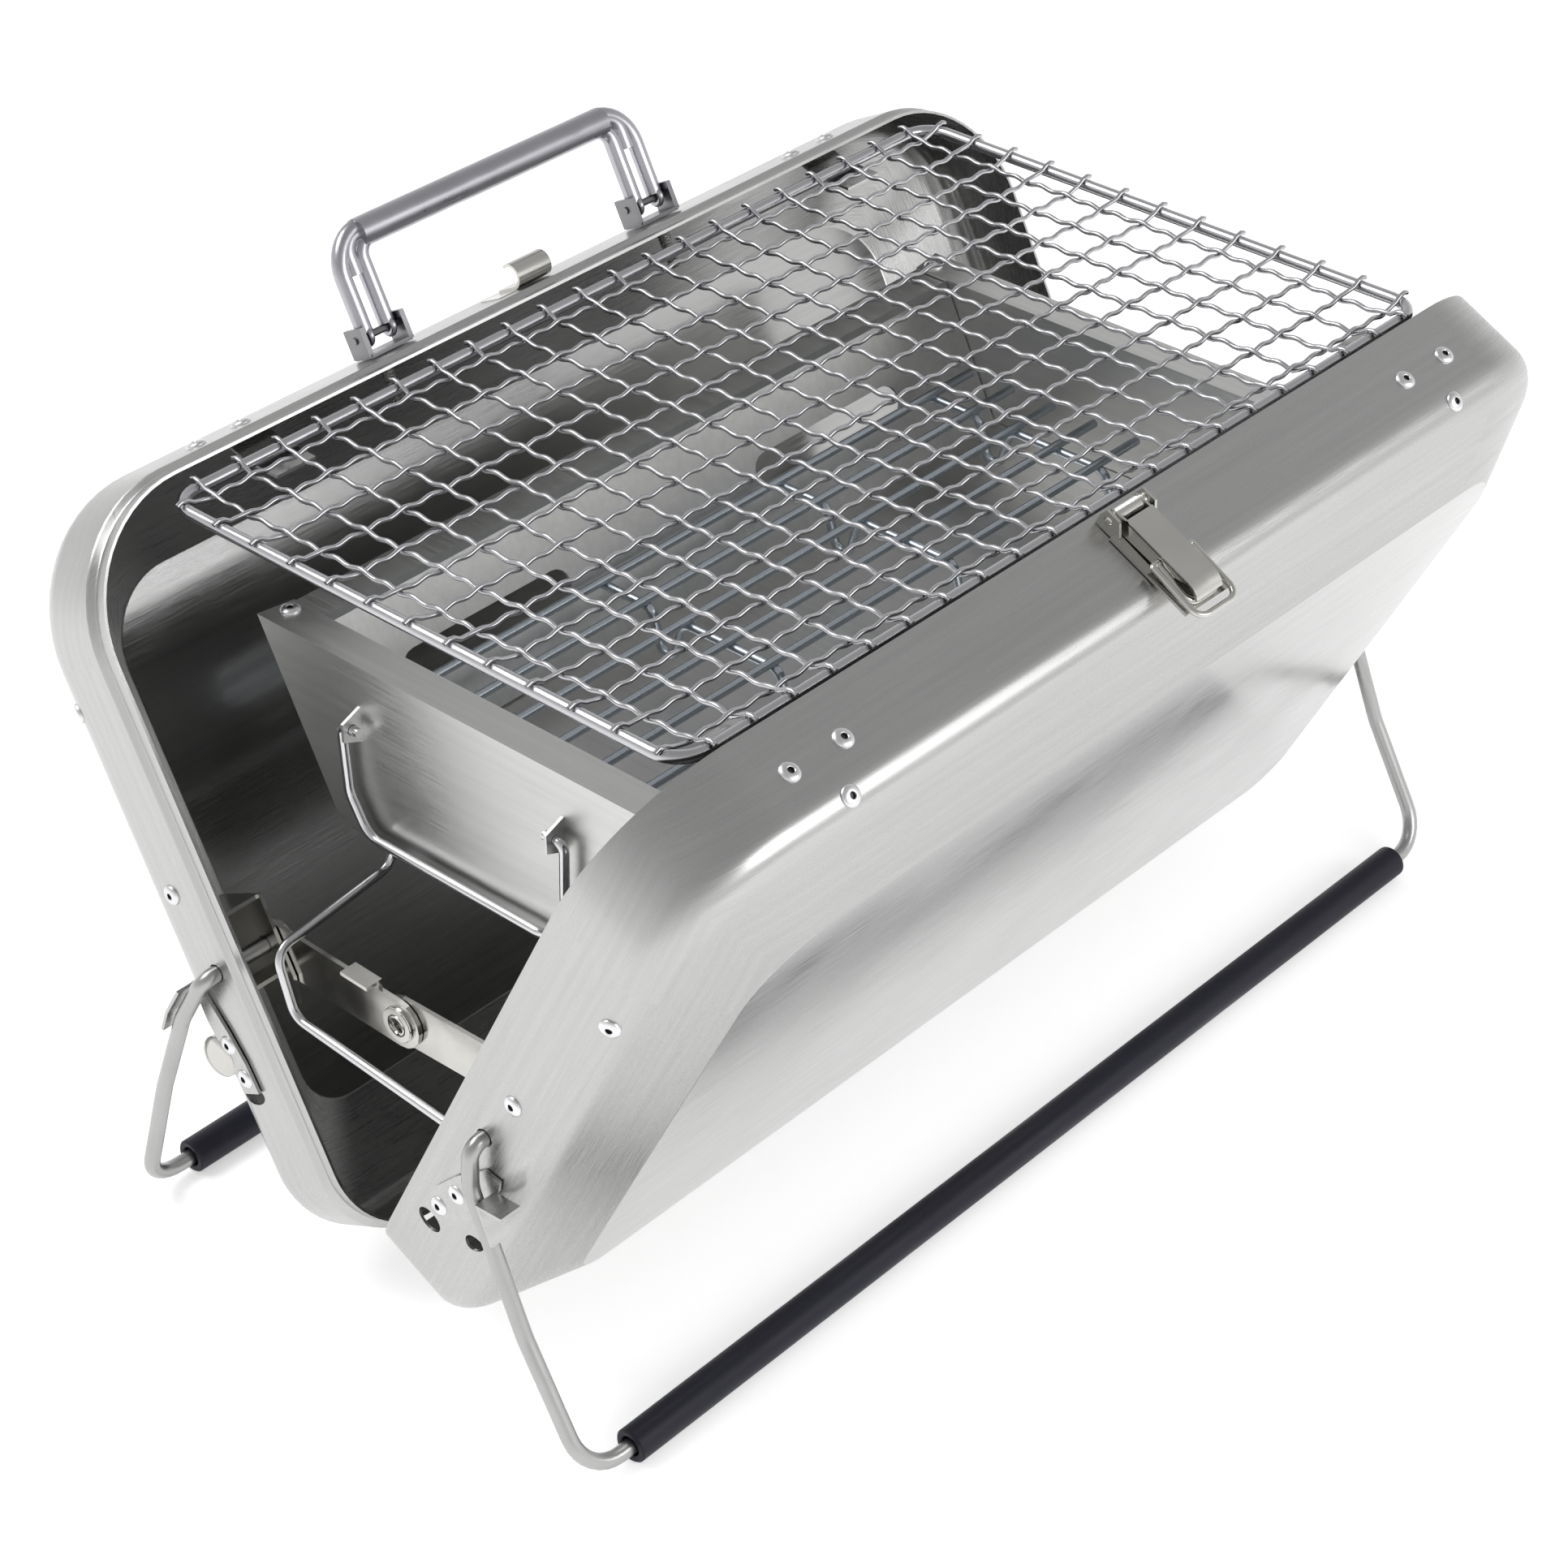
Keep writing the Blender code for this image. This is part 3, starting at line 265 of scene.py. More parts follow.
def lathe(work, base, axis, profile, steps=20):
    """Adds a turned body: (distance along the axis, radius) pairs spun round it."""
    axis = Vector(axis).normalized()
    across = axis.orthogonal().normalized()
    verts = [work.verts.new(Vector(base) + axis * d + across * r) for d, r in profile]
    edges = [work.edges.new(pair) for pair in zip(verts, verts[1:])]
    bmesh.ops.spin(work, geom=verts + edges, cent=Vector(base), axis=axis, angle=2 * math.pi,
                   steps=steps, use_merge=True)


def closed_up(work):
    bmesh.ops.remove_doubles(work, verts=work.verts, dist=1e-6)
    bmesh.ops.recalc_face_normals(work, faces=work.faces)


def flat_plate(work, points, thickness, direction):
    """Adds a plate: a face through the points, extruded along the direction."""
    face = work.faces.new([work.verts.new(p) for p in points])
    made = bmesh.ops.extrude_face_region(work, geom=[face], use_keep_orig=True)
    moved = [g for g in made["geom"] if isinstance(g, bmesh.types.BMVert)]
    bmesh.ops.translate(work, verts=moved, vec=Vector(direction).normalized() * thickness)


def sheet_strip(profile, spot, low, high, thickness):
    """Bent sheet: the profile line swept from low to high and thickened."""
    work = bmesh.new()
    line = [work.verts.new(spot(a, b, low)) for a, b in profile]
    edges = [work.edges.new(pair) for pair in zip(line, line[1:])]
    made = bmesh.ops.extrude_edge_only(work, edges=edges)
    moved = [g for g in made["geom"] if isinstance(g, bmesh.types.BMVert)]
    bmesh.ops.translate(work, verts=moved, vec=spot(0, 0, high) - spot(0, 0, low))
    bmesh.ops.recalc_face_normals(work, faces=work.faces)
    bmesh.ops.solidify(work, geom=work.faces, thickness=thickness)
    return work


# ---- pressed case shells ----

def rim_loop(work, inset, depth, top, bottom, segments=14):
    """Rounded rectangle of the case outline, at an inset and a depth; returns its edges and face."""
    made = bmesh.ops.create_grid(work, x_segments=1, y_segments=1, size=0.5)
    verts = made["verts"]
    width, height = 2 * (CASE_HALF - inset), CASE_HEIGHT - 2 * inset
    bmesh.ops.scale(work, verts=verts, vec=(width, height, 1))
    bmesh.ops.translate(work, verts=verts, vec=(0, CASE_HEIGHT / 2, depth))
    upper = [v for v in verts if v.co.y > CASE_HEIGHT / 2]
    lower = [v for v in verts if v.co.y < CASE_HEIGHT / 2]
    for corners, radius in ((upper, top), (lower, bottom)):
        bmesh.ops.bevel(work, geom=corners, offset=radius, offset_type="OFFSET", affect="VERTICES",
                        segments=segments, profile=0.5, material=-1)
    face = next(f for f in work.faces if abs(f.calc_center_median().z - depth) < 1e-7)
    return list(face.edges), face


def case_profile(lip):
    """(inset, depth) of the outer skin from the rim to the panel, with its bends."""
    turn = math.pi / 2 - math.atan2(CASE_DEPTH - WALL_DEPTH, PANEL_INSET)
    radius = WALL_BEND
    center = (radius, WALL_DEPTH - radius * math.tan(turn / 2))
    rows = [(0.0, 0.0), (0.0, 0.0008)]
    if lip:
        rows = [(0.0017, 0.0), (0.0017, 0.0040), (0.0014, 0.0046), (0.0004, 0.0056), (0.0, 0.0063)]
    for i in range(9):
        t = math.pi - turn * i / 8
        rows.append((center[0] + radius * math.cos(t), center[1] + radius * math.sin(t)))
    slope = math.pi / 2 - turn
    crease = 0.0022
    for i in range(4):
        t = slope * (1 - i / 3)
        back = crease * math.tan(slope / 2)
        middle = (PANEL_INSET + back, CASE_DEPTH - crease)
        rows.append((middle[0] - crease * math.sin(t), middle[1] + crease * math.cos(t)))
    return rows


def corner_radii(inset):
    part = min(max(inset / PANEL_INSET, 0), 1)
    return 0.043 + (0.025 - 0.043) * part, 0.027 + (0.014 - 0.027) * part


def lay_grain(work):
    """UV that runs along the rim on the walls and along the hinge on the panel."""
    layer = work.loops.layers.uv.new("grain")
    middle = CASE_HEIGHT / 2
    for face in work.faces:
        center = face.calc_center_median()
        panel = abs(face.normal.z) > 0.98
        face.material_index = 1 if panel else 0
        right, upper = center.x > 0, center.y > middle
        for corner in face.loops:
            x, u, n = corner.vert.co
            if panel:
                corner[layer].uv = (x, u)
            else:
                run = (x if upper else -x) + (-u if right else u)
                corner[layer].uv = (run, n + 0.5 * min(CASE_HALF - abs(x), abs(middle - abs(u - middle))))


def cut_holes(item, side):
    """Cuts the leg pin holes, the slots and the relief holes through the end walls."""
    work = bmesh.new()
    for end, _ in ENDS:
        for u, n, stretch, radius in ((PIN_U, PIN_N, 1.0, PIN_HOLE_RADIUS),) + WALL_HOLES[side]:
            made = bmesh.ops.create_cone(work, cap_ends=True, segments=28, radius1=radius, radius2=radius,
                                         depth=CUTTER_LENGTH)
            turn = Matrix.Rotation(math.pi / 2, 4, "Y")
            shift = Matrix.Translation((end * CASE_HALF, u, n)) @ Matrix.Diagonal((1, 1, stretch, 1)) @ turn
            bmesh.ops.transform(work, verts=made["verts"], matrix=case_matrix(side) @ shift)
    bmesh.ops.recalc_face_normals(work, faces=work.faces)
    data = bpy.data.meshes.new(item.name + "_cutter")
    work.to_mesh(data)
    work.free()
    cutter = bpy.data.objects.new(item.name + "_cutter", data)
    bpy.context.collection.objects.link(cutter)
    change = item.modifiers.new("holes", "BOOLEAN")
    change.operation = "DIFFERENCE"
    change.solver = "EXACT"
    change.object = cutter
    bpy.context.view_layer.update()
    result = bpy.data.meshes.new_from_object(item.evaluated_get(bpy.context.evaluated_depsgraph_get()))
    item.modifiers.clear()
    item.data = result
    bpy.data.objects.remove(cutter, do_unlink=True)


def case_shell(name, side, node):
    work = bmesh.new()
    rows = case_profile(side == REAR)
    loops = []
    for inset, depth in rows:
        edges, face = rim_loop(work, inset, depth, *corner_radii(inset))
        loops.append((edges, face))
    for (edges, face), (onward, _) in zip(loops, loops[1:]):
        work.faces.remove(face)
        bmesh.ops.bridge_loops(work, edges=edges + onward)
    bmesh.ops.recalc_face_normals(work, faces=work.faces)
    panel = max(work.faces, key=lambda f: f.calc_area())
    if panel.normal.z < 0:
        bmesh.ops.reverse_faces(work, faces=work.faces)
    lay_grain(work)
    bmesh.ops.transform(work, verts=work.verts, matrix=case_matrix(side))
    if side == REAR:
        bmesh.ops.reverse_faces(work, faces=work.faces)
    item = mesh_piece(name, work, (CASE_STEEL, PANEL_STEEL), BODY[side], (node,),
                      SHELL_SHARP)
    wall = item.modifiers.new("sheet", "SOLIDIFY")
    wall.thickness = SHEET
    wall.offset = -1
    wall.use_even_offset = True
    cut_holes(item, side)
    item.data.set_sharp_from_angle(angle=math.radians(SHELL_SHARP))


case_shell("front_case_shell", FRONT, "front_shell")
case_shell("rear_case_shell", REAR, "rear_shell")


# ---- legs, sleeves ----

def leg_wire(side, word):
    half = [place(side, -LEG_END, PIN_U, PIN_N), place(side, -LEG_PLANE, PIN_U, PIN_N)]
    half += [place(side, -LEG_PLANE, u, n) for u, n in LEG_KNEES[side]]
    half.append(Vector((-LEG_PLANE, side * FOOT_Y, SLEEVE_RADIUS)))
    points = half + [Vector((-p.x, p.y, p.z)) for p in reversed(half)]
    radii = [0.0045, 0.012, 0.030, 0.013, 0.013, 0.030, 0.012, 0.0045]
    wire_piece(word + "_leg_wire", [rounded_path(points, radii, 8)], LEG_WIRE_RADIUS, LEG_STEEL,
               word + "_leg_set", (word + "_leg",), sides=5)


def foot_sleeve(side, word):
    """Soft tube slid over the foot wire, its ends cut square with a thick wall."""
    work = bmesh.new()
    half, r, bore = SLEEVE_HALF, SLEEVE_RADIUS, SLEEVE_BORE
    profile = [(0.004, bore), (0.0004, bore), (0.0, bore + 0.0004), (0.0, r - 0.0006), (0.0006, r)]
    profile += [(2 * half * i / 12, r) for i in range(1, 12)]
    profile += [(2 * half - 0.0006, r), (2 * half, r - 0.0006)]
    profile += [(2 * half, bore + 0.0004), (2 * half - 0.0004, bore)]
    profile += [(2 * half - 0.004, bore), (0.004, bore)]
    lathe(work, (-half, side * FOOT_Y, r), (1, 0, 0), profile, 32)
    closed_up(work)
    mesh_piece(word + "_foot_sleeve", work, RUBBER, word + "_leg_set", (word + "_sleeve",), 40)


for side, word in ((FRONT, "front"), (REAR, "rear")):
    leg_wire(side, word)
    foot_sleeve(side, word)


# ---- cooking grid ----

def crimp(step):
    """Height of a crimped wire between crossings: over, a small dip and rise, under."""
    return 0.00024 * math.cos(math.pi * step) + 0.00050 * math.cos(3 * math.pi * step)


def grid_strand(offset, count, half, along_x, phase):
    """One crimped wire across the grid, its ends bent over the frame wire."""
    first = -(count - 1) / 2 * GRID_PITCH
    samples = 12
    path = []
    for i in range((count - 1) * samples + 1):
        step = i / samples
        path.append((first + step * GRID_PITCH, GRID_Z + (1 if phase else -1) * crimp(step)))
    over = GRID_Z + 0.0028
    ends = []
    for sign in (-1, 1):
        edge = sign * half
        rows = [(edge + sign * 0.0024, over - 0.0006), (edge + sign * 0.0008, over)]
        rows += [(edge - sign * 0.0014, over - 0.0004), (edge - sign * 0.0036, GRID_Z + 0.0010)]
        ends.append(rows)
    full = ends[0] + path + list(reversed(ends[1]))
    if along_x:
        return [Vector((a, offset, z)) for a, z in full]
    return [Vector((offset, a, z)) for a, z in full]


def cooking_grid():
    strands = []
    for j in range(GRID_ROWS):
        offset = (j - GRID_ROWS // 2) * GRID_PITCH
        strands.append(grid_strand(offset, GRID_COLUMNS, GRID_HALF_X, True, j % 2))
    for k in range(GRID_COLUMNS):
        offset = (k - GRID_COLUMNS // 2) * GRID_PITCH
        strands.append(grid_strand(offset, GRID_ROWS, GRID_HALF_Y, False, (k + 1) % 2))
    wire_piece("crimped_grid_wires", strands, GRID_WIRE_RADIUS, GRID_WIRE, "grid",
               ("cooking_grid",), sides=1)
    corner = GRID_CORNER
    ring = []
    for quarter, (sx, sy) in enumerate(((1, 1), (-1, 1), (-1, -1), (1, -1))):
        for i in range(9):
            t = math.pi / 2 * (quarter + i / 8)
            ring.append(Vector((sx * (GRID_HALF_X - corner) + corner * math.cos(t),
                                sy * (GRID_HALF_Y - corner) + corner * math.sin(t), GRID_Z)))
    wire_piece("grid_frame_wire", [ring], GRID_FRAME_RADIUS, GRID_WIRE, "grid", (), True, 3)


cooking_grid()

# ---- carrying handle ----
HANDLE_MIDDLE, HANDLE_HALF, HANDLE_LEG = -0.0015, 0.0585, 0.0045
HANDLE_AXIS_U, HANDLE_BAR_U, HANDLE_N = 0.2405, 0.2695, 0.018
HANDLE_BAR_RADIUS, HANDLE_WIRE_RADIUS = 0.0047, 0.0027
EYE_RADIUS, EYE_WIRE_RADIUS = 0.0024, 0.0011


def handle_spot(x, u):
    return place(REAR, HANDLE_MIDDLE + x, u, HANDLE_N)


def ring_path(center, normal, radius, steps=24):
    normal = Vector(normal).normalized()
    across = normal.orthogonal().normalized()
    up = normal.cross(across)
    out = []
    for i in range(steps):
        t = 2 * math.pi * i / steps
        out.append(Vector(center) + across * (radius * math.cos(t)) + up * (radius * math.sin(t)))
    return out


def carrying_handle():
    bar = [handle_spot(-HANDLE_HALF + 0.006, HANDLE_BAR_U), handle_spot(HANDLE_HALF - 0.006, HANDLE_BAR_U)]
    wire_piece("handle_bar", [bar], HANDLE_BAR_RADIUS, HANDLE_STEEL, "handle",
               ("handle_grip",), sides=7)
    runs = []
    for reach, top, corner in ((HANDLE_HALF + HANDLE_LEG, HANDLE_BAR_U + 0.0020, 0.0125),
                               (HANDLE_HALF, HANDLE_BAR_U, 0.0090),
                               (HANDLE_HALF - HANDLE_LEG, HANDLE_BAR_U - 0.0020, 0.0055)):
        foot = 0.2585 if reach == HANDLE_HALF else HANDLE_AXIS_U + 0.0012
        path = [handle_spot(-reach, foot), handle_spot(-reach, top)]
        path += [handle_spot(reach, top), handle_spot(reach, foot)]
        runs.append(rounded_path(path, corner, 9))
    wire_piece("handle_legs", runs, HANDLE_WIRE_RADIUS, HANDLE_STEEL, "handle", sides=5)
    for end, mark in ENDS:
        eyes = []
        for offset in (-HANDLE_LEG, HANDLE_LEG):
            center = handle_spot(end * HANDLE_HALF + offset, HANDLE_AXIS_U)
            eyes.append(ring_path(center, (1, 0, 0), EYE_RADIUS))
        wire_piece("handle_eyes_" + mark, eyes, EYE_WIRE_RADIUS, HANDLE_STEEL, "handle",
                   (), True, 3)


def handle_studs():
    """Screw tails and nuts that hold the handle feet, under the rear top wall."""
    down = place(REAR, 0, 0, 0) - place(REAR, 0, 1, 0)
    work = bmesh.new()
    for end, _ in ENDS:
        top = place(REAR, HANDLE_MIDDLE + end * (HANDLE_HALF + 0.002), CASE_HEIGHT - SHEET, HANDLE_N)
        profile = [(-0.0006, 0), (-0.0006, 0.0021)]
        for i in range(14):
            profile += [(0.0010 + i * 0.0010, 0.0021), (0.0015 + i * 0.0010, 0.0018)]
        profile += [(0.0150, 0.0019), (0.0158, 0.0013), (0.0160, 0)]
        lathe(work, top, down, profile, 20)
        made = bmesh.ops.create_cone(work, cap_ends=True, segments=6, radius1=0.0041, radius2=0.0041,
                                     depth=0.0032)
        turn = down.to_track_quat("Z", "Y").to_matrix().to_4x4()
        bmesh.ops.transform(work, verts=made["verts"], matrix=Matrix.Translation(top + down * 0.0020) @ turn)
    closed_up(work)
    mesh_piece("handle_studs_and_nuts", work, NICKEL, "rear")


carrying_handle()
handle_studs()

# ---- pop rivets ----
RIVET_PROFILE = ((-0.0005, 0.0), (-0.0005, 0.0031), (0.0002, 0.0032), (0.0006, 0.0030), (0.0010, 0.0023),
                 (0.0012, 0.0016), (0.0012, 0.0012), (0.0010, 0.0010), (0.0003, 0.0009), (0.0003, 0.0))
RIVET_HOLE_DEPTH, RIVET_HOLE_RADIUS = 0.0011, 0.00098
STOP_PLATE = 0.0010
# rivets of the end walls: (u, n, how far they stand off); rivets of the top walls: (x, n)
FRONT_WALL_RIVETS = ((0.1738, 0.0288, 0.0), (0.1166, 0.0164, 0.0),
                     (0.0550, 0.0120, STOP_PLATE), (0.0660, 0.0150, STOP_PLATE))
REAR_WALL_RIVETS = ((0.1776, 0.0297, 0.0), (0.1202, 0.0194, 0.0),
                    (0.0720, 0.0217, STOP_PLATE), (0.0610, 0.0205, STOP_PLATE))
FRONT_TOP_RIVETS = ((-0.1466, 0.0154), (-0.1262, 0.0154), (-0.1364, 0.0290),
                    (0.1262, 0.0154), (0.1466, 0.0154), (0.1364, 0.0290))
REAR_TOP_RIVETS = ((-0.1370, 0.0150), (-0.1200, 0.0150), (0.1200, 0.0150), (0.1370, 0.0150))
FIREBOX_RIVET_X, FIREBOX_RIVET_Y, FIREBOX_RIVET_Z = 0.1430, 0.0765, 0.1925


def wall_seat(n):
    """How far the wall has turned in at n, and its tilt there: flat first, then round the bend."""
    tilt = math.asin(min(0.98, max(0.0, n - WALL_FLAT) / WALL_BEND))
    return WALL_BEND * (1 - math.cos(tilt)), tilt


def pop_rivet(work, spot, axis):
    axis = Vector(axis).normalized()
    before = set(work.faces)
    lathe(work, spot, axis, RIVET_PROFILE, 24)
    for face in set(work.faces) - before:
        offset = face.calc_center_median() - Vector(spot)
        depth = offset.dot(axis)
        # Faces inside the rivet hole take the near-black material: painted shade in the hole, over the
        # mandrel end and the hole's walls.
        if 0.0 < depth < RIVET_HOLE_DEPTH and (offset - axis * depth).length < RIVET_HOLE_RADIUS:
            face.material_index = 1


def case_rivets(side, wall, top):
    work = bmesh.new()
    outward = place(side, 0, 0, 1) - place(side, 0, 0, 0)
    upward = place(side, 0, 1, 0) - place(side, 0, 0, 0)
    for end, _ in ENDS:
        for u, n, lift in wall:
            inset, tilt = wall_seat(n)
            axis = Vector((end * math.cos(tilt), 0, 0)) + outward * math.sin(tilt)
            pop_rivet(work, place(side, end * (CASE_HALF - inset + lift), u, n), axis)
    for x, n in top:
        inset, tilt = wall_seat(n)
        axis = upward * math.cos(tilt) + outward * math.sin(tilt)
        pop_rivet(work, place(side, x, CASE_HEIGHT - inset, n), axis)
    closed_up(work)
    mesh_piece(BODY[side] + "_case_rivets", work, (RIVET_METAL, MANDREL_AND_HOLE_SHADE), BODY[side])


def firebox_rivets():
    work = bmesh.new()
    for x in (-FIREBOX_RIVET_X, FIREBOX_RIVET_X):
        for y in (-FIREBOX_RIVET_Y, FIREBOX_RIVET_Y):
            pop_rivet(work, (x, y, FIREBOX_RIVET_Z), (0, 0, 1))
    closed_up(work)
    mesh_piece("firebox_corner_rivets", work, (RIVET_METAL, MANDREL_AND_HOLE_SHADE), "firebox")


case_rivets(FRONT, FRONT_WALL_RIVETS, FRONT_TOP_RIVETS)
case_rivets(REAR, REAR_WALL_RIVETS, REAR_TOP_RIVETS)
firebox_rivets()

# ---- keeper for the latch loop ----

def keeper_hook():
    """Sheet strip folded up and rolled over, with a short foot beside it."""
    base, radius, middle = CASE_HEIGHT + 0.0003, 0.0042, 0.0120
    steps, sweep = 18, math.radians(205)
    curl = [(0.0200, base), (middle, base)]
    for i in range(1, steps + 1):
        t = -math.pi / 2 - sweep * i / steps
        curl.append((middle + radius * math.cos(t), base + radius + radius * math.sin(t)))
    foot = [(0.0200, base), (0.0150, base), (0.0105, base)]
    for name, profile, low, high, nodes in (("keeper_hook", curl, -0.0100, 0.0040, ("keeper",)),
                                            ("keeper_foot", foot, -0.0180, -0.0100, ())):
        work = sheet_strip(profile, lambda n, u, x: place(REAR, x, u, n), low, high, SHEET)
        mesh_piece(name, work, NICKEL, "rear", nodes, 40)


keeper_hook()

# ---- stays, rest wires, bails ----
LINK_FACE, KNEE_Z = 0.1799, 0.1031
REST_PLANE, REST_START, REST_INNER = 0.1930, 0.1797, 0.1467
BAIL_X, BAIL_Y, BAIL_Z = 0.1545, 0.0405, 0.1730
THIN_WIRE = 0.0015


def stay_eyelets():
    """Rolled double ring that joins the two links of each stay."""
    profile = ((0.0, 0.0058), (0.0008, 0.0057), (0.0012, 0.0050), (0.0011, 0.0044),
               (0.0006, 0.0040), (0.0006, 0.0036), (0.0013, 0.0032), (0.0014, 0.0027),
               (0.0008, 0.0023), (-0.0001, 0.0022), (-0.0001, 0.0058), (0.0, 0.0058))
    for end, mark in ENDS:
        work = bmesh.new()
        lathe(work, (end * LINK_FACE, 0, KNEE_Z), (end, 0, 0), profile, 32)
        closed_up(work)
        mesh_piece("stay_eyelet_" + mark, work, NICKEL, "stay_rear_" + mark)


def rest_wires():
    pivot = place(FRONT, 0, 0.0795, 0.0120)
    for end, mark in ENDS:
        points = [Vector((end * REST_START, pivot.y, pivot.z)), Vector((end * REST_PLANE, pivot.y, pivot.z))]
        points += [Vector((end * REST_PLANE, 0.030, 0.0975)), Vector((end * REST_PLANE, 0.036, 0.118))]
        points += [Vector((end * REST_INNER, 0.036, 0.124)), Vector((end * REST_INNER, 0.036, 0.1377))]
        wire_piece("rest_wire_bent_" + mark, [rounded_path(points, 0.006, 7)], THIN_WIRE, BRIGHT_WIRE,
                   "rest_" + mark, ("rest_wire_" + mark,), sides=4)


def carrying_bails():
    for end, mark in ENDS:
        x = end * BAIL_X
        half = ((-BAIL_Y + 0.0035, BAIL_Z), (-BAIL_Y - 0.0040, BAIL_Z),
                (-BAIL_Y - 0.0030, 0.150), (-BAIL_Y + 0.0040, 0.1375))
        points = [Vector((x, y, z)) for y, z in half] + [Vector((x, -y, z)) for y, z in reversed(half)]
        path = rounded_path(points, [0.0025, 0.010, 0.008, 0.008, 0.010, 0.0025], 7)
        wire_piece("bail_wire_" + mark, [path], THIN_WIRE, BRIGHT_WIRE, "bail_" + mark,
                   ("firebox_bail_" + mark,), sides=4)


def leg_stop_lobes():
    """Pressed round lobes beside the rear leg stops."""
    profile = ((0.0, 0.0), (0.0, 0.0066), (0.0026, 0.0068), (0.0034, 0.0060), (0.0038, 0.0040), (0.0039, 0.0))
    work = bmesh.new()
    for end, _ in ENDS:
        lathe(work, place(REAR, end * 0.1985, 0.0680, 0.0295), (end, 0, 0), profile, 28)
    closed_up(work)
    mesh_piece("rear_leg_stop_lobes", work, NICKEL, "rear")


leg_stop_lobes()
stay_eyelets()
rest_wires()
carrying_bails()

# ---- charcoal grate ----
GRATE_Z, GRATE_PITCH, GRATE_HALF, GRATE_FOOT_Z = 0.165, 0.0173, 0.134, 0.1406


def charcoal_grate():
    rods = []
    for i in range(-3, 4):
        y = i * GRATE_PITCH
        rods.append([Vector((-GRATE_HALF, y, GRATE_Z)), Vector((GRATE_HALF, y, GRATE_Z))])
    under = GRATE_Z - 1.4 * THIN_WIRE
    reach = 3 * GRATE_PITCH + 0.002
    for x in (-0.115, -0.040, 0.040, 0.115):
        path = [Vector((x, -reach, under))]
        for y in (-0.0260, 0.0260):
            path += [Vector((x, y - 0.0068, under)), Vector((x, y, GRATE_FOOT_Z))]
            path.append(Vector((x, y + 0.0068, under)))
        path.append(Vector((x, reach, under)))
        rods.append(rounded_path(path, 0.004, 6))
    wire_piece("welded_grate_rods", rods, THIN_WIRE, GRATE_WIRE, "grate",
               ("charcoal_grate",), sides=3)


charcoal_grate()

# ---- latch ----
LATCH_X, LATCH_N, LATCH_U = 0.001, 0.0050, 0.2378
LEVER_HALF, LEVER_SHEET = 0.0058, 0.0008


def latch_spot(n, u, x):
    return place(FRONT, LATCH_X + x, u, n)


def latch_fittings():
    """Spring-wound pin with round heads, the pressed lever and the double wire loop."""
    half = 0.0085
    head = [(0.0, 0.0), (0.0002, 0.0009), (0.0007, 0.0016), (0.0014, 0.0020)]
    head += [(0.0022, 0.0019), (0.0027, 0.0014)]
    profile = list(head)
    for i in range(15):
        start = 0.0030 + i * 0.00075
        profile += [(start, 0.0020), (start + 0.00035, 0.0023), (start + 0.0006, 0.0020)]
    profile += [(2 * half - d, r) for d, r in reversed(head)]
    work = bmesh.new()
    lathe(work, latch_spot(LATCH_N, LATCH_U, -half), (1, 0, 0), profile, 20)
    closed_up(work)
    mesh_piece("latch_ridged_pin", work, NICKEL, "front", ("latch_pin",))
    n, u, end_n = 0.0230, 0.2380, 0.0425
    loops = []
    for reach, tip, drop in ((0.0088, end_n, 0.0010), (0.0068, end_n - 0.0052, 0.0018)):
        points = [latch_spot(n, u, -0.0060), latch_spot(n, u, -reach), latch_spot(tip, u - drop, -reach)]
        points += [latch_spot(tip, u - drop, reach), latch_spot(n, u, reach), latch_spot(n, u, 0.0060)]
        loops.append(rounded_path(points, [0.0007, 0.0040, 0.0040, 0.0007], 8))
    wire_piece("latch_wire_loop", loops, 0.0010, NICKEL, "loop", ("latch_loop",), sides=4)
    top = LATCH_U + 0.0028
    plate = [(0.0085, top), (0.0330, top), (0.0352, top - 0.0004)]
    plate += [(0.0370, top - 0.0013), (0.0381, top - 0.0026)]
    work = sheet_strip(plate, latch_spot, -LEVER_HALF, LEVER_HALF, LEVER_SHEET)
    for x in (-LEVER_HALF, LEVER_HALF - LEVER_SHEET):
        cheek = ((0.0030, top - 0.0052), (0.0240, top - 0.0046), (0.0335, top - 0.0006),
                 (0.0085, top - 0.0004), (0.0030, top - 0.0010))
        flat_plate(work, [latch_spot(a, b, x) for a, b in cheek], LEVER_SHEET, (1, 0, 0))
    bmesh.ops.recalc_face_normals(work, faces=work.faces)
    mesh_piece("latch_pressed_lever", work, NICKEL, "lever", ("latch_lever",), 40)


latch_fittings()

# ---- finishes of the pieces that keep their drafted shape ----
NODE_FINISHES = (("firebox", FIREBOX_STEEL), ("leg_stop", SHEET_STEEL), ("grid_support", SHEET_STEEL),
                 ("handle_bracket", DARK_STEEL), ("hinge", NICKEL), ("pin_collar", NICKEL),
                 ("pivot_bracket", NICKEL), ("stay_link", NICKEL), ("keeper", NICKEL), ("latch", NICKEL))


def finish_nodes():
    for name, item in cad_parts.items():
        for start, metal in NODE_FINISHES:
            if name.startswith(start):
                for holder in item.material_slots:
                    holder.link = "OBJECT"
                    holder.material = metal


finish_nodes()

# ---- camera, light, floor ----
CAMERA_YAW, CAMERA_PITCH, CAMERA_ROLL = math.radians(47.693), math.radians(34.844), math.radians(0.483)
CAMERA_SPOT = (-0.72694, -0.64612, 0.76928)
CAMERA_LENS, CAMERA_SENSOR = 86.59, 36.0
SKY_LEVELS = ((0.0, 0.60), (0.50, 1.00), (0.57, 0.94), (0.70, 0.66), (0.85, 0.50), (1.0, 0.42))
LIGHT_TARGET = (0, 0, 0.1)
AREA_LIGHTS = (("key_light", (-0.6, 0.9, 1.6), (1.2, 0.8), 14),
               ("front_light", (0.4, -1.6, 0.9), (1.4, 0.7), 10))

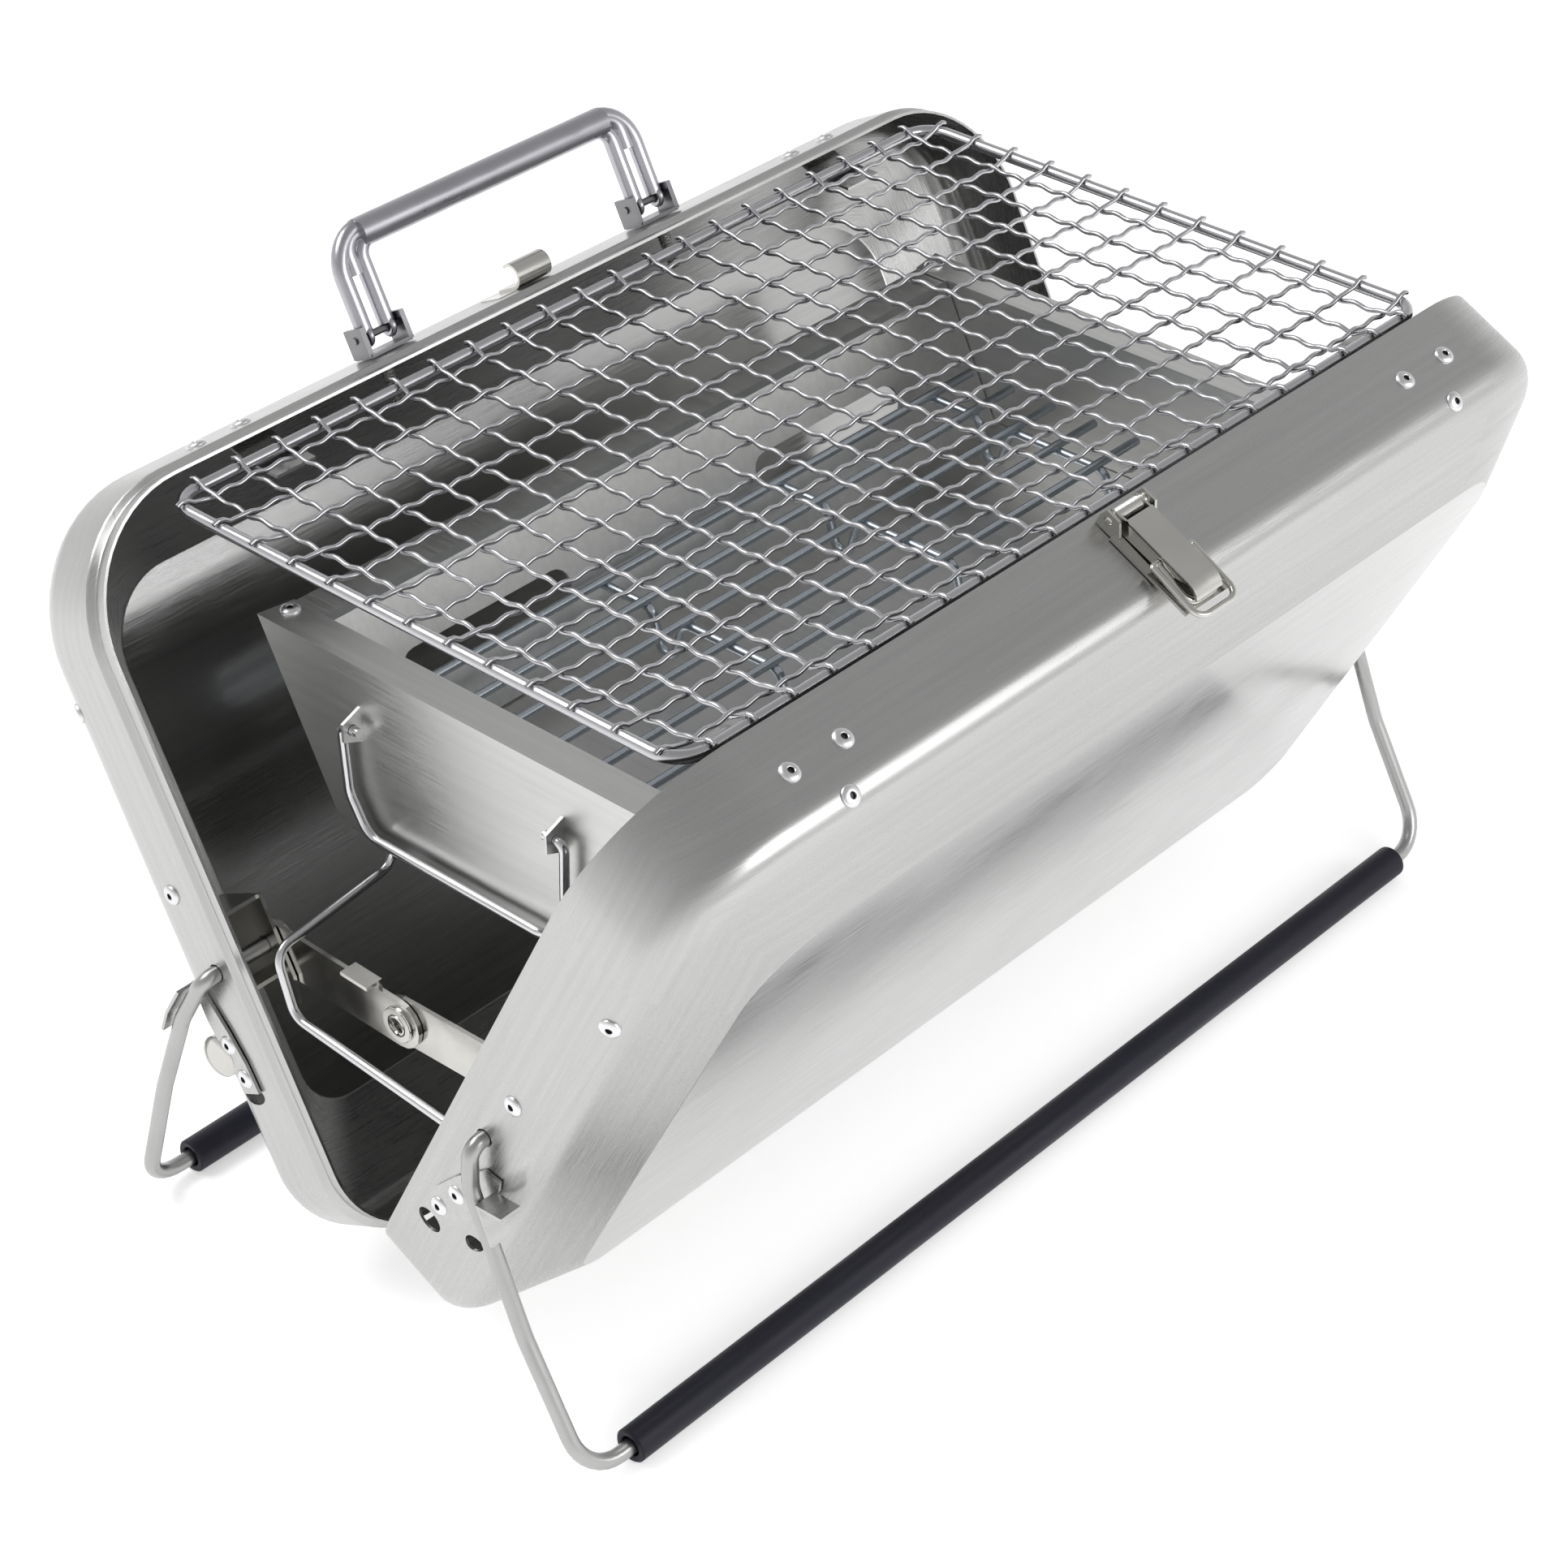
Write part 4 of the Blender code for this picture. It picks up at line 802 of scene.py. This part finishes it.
def aim_camera():
    yaw, pitch, roll = CAMERA_YAW, CAMERA_PITCH, CAMERA_ROLL
    ahead = Vector((math.sin(yaw) * math.cos(pitch), math.cos(yaw) * math.cos(pitch), -math.sin(pitch)))
    right = Vector((math.cos(yaw), -math.sin(yaw), 0))
    down = ahead.cross(right)
    turned_right = right * math.cos(roll) + down * math.sin(roll)
    turned_down = down * math.cos(roll) - right * math.sin(roll)
    data = bpy.data.cameras.new("studio_camera")
    data.lens = CAMERA_LENS
    data.sensor_width = CAMERA_SENSOR
    item = bpy.data.objects.new("studio_camera", data)
    basis = Matrix((turned_right, -turned_down, -ahead)).transposed().to_4x4()
    item.matrix_world = Matrix.Translation(CAMERA_SPOT) @ basis
    bpy.context.collection.objects.link(item)
    bpy.context.scene.camera = item


def soft_light(name, spot, target, size, power):
    data = bpy.data.lights.new(name, "AREA")
    data.shape = "RECTANGLE"
    data.size, data.size_y = size
    data.energy = power
    item = bpy.data.objects.new(name, data)
    item.location = spot
    item.rotation_euler = (Vector(target) - Vector(spot)).to_track_quat("-Z", "Y").to_euler()
    bpy.context.collection.objects.link(item)


def studio():
    world = bpy.data.worlds.new("soft_studio")
    bpy.context.scene.world = world
    world.use_nodes = True
    tree = world.node_tree
    back = tree.nodes["Background"]
    texture = tree.nodes.new("ShaderNodeTexCoord")
    split = tree.nodes.new("ShaderNodeSeparateXYZ")
    ramp = tree.nodes.new("ShaderNodeValToRGB")
    tree.links.new(texture.outputs["Generated"], split.inputs["Vector"])
    raised = remap(tree, split.outputs["Z"], 0.0, 1.0, -1.0, 1.0)
    tree.links.new(raised, ramp.inputs["Fac"])
    for position, _ in SKY_LEVELS[1:-1]:
        ramp.color_ramp.elements.new(position)
    for element, (position, level) in zip(ramp.color_ramp.elements, SKY_LEVELS):
        element.position = position
        element.color = (level, level, level, 1)
    tree.links.new(ramp.outputs["Color"], back.inputs["Color"])
    back.inputs["Strength"].default_value = 1.0
    work = bmesh.new()
    bmesh.ops.create_grid(work, x_segments=1, y_segments=1, size=4.0)
    data = bpy.data.meshes.new("studio_floor")
    work.to_mesh(data)
    work.free()
    look, _, shader = node_material("floor_paper", (0.93, 0.93, 0.93), 0.0, 0.9)
    shader.inputs["Emission Color"].default_value = (1, 1, 1, 1)
    shader.inputs["Emission Strength"].default_value = 0.45
    data.materials.append(look)
    floor = bpy.data.objects.new("studio_floor", data)
    bpy.context.collection.objects.link(floor)
    for name, spot, size, power in AREA_LIGHTS:
        soft_light(name, spot, LIGHT_TARGET, size, power)
    bpy.context.scene.view_settings.view_transform = "Standard"


aim_camera()
studio()
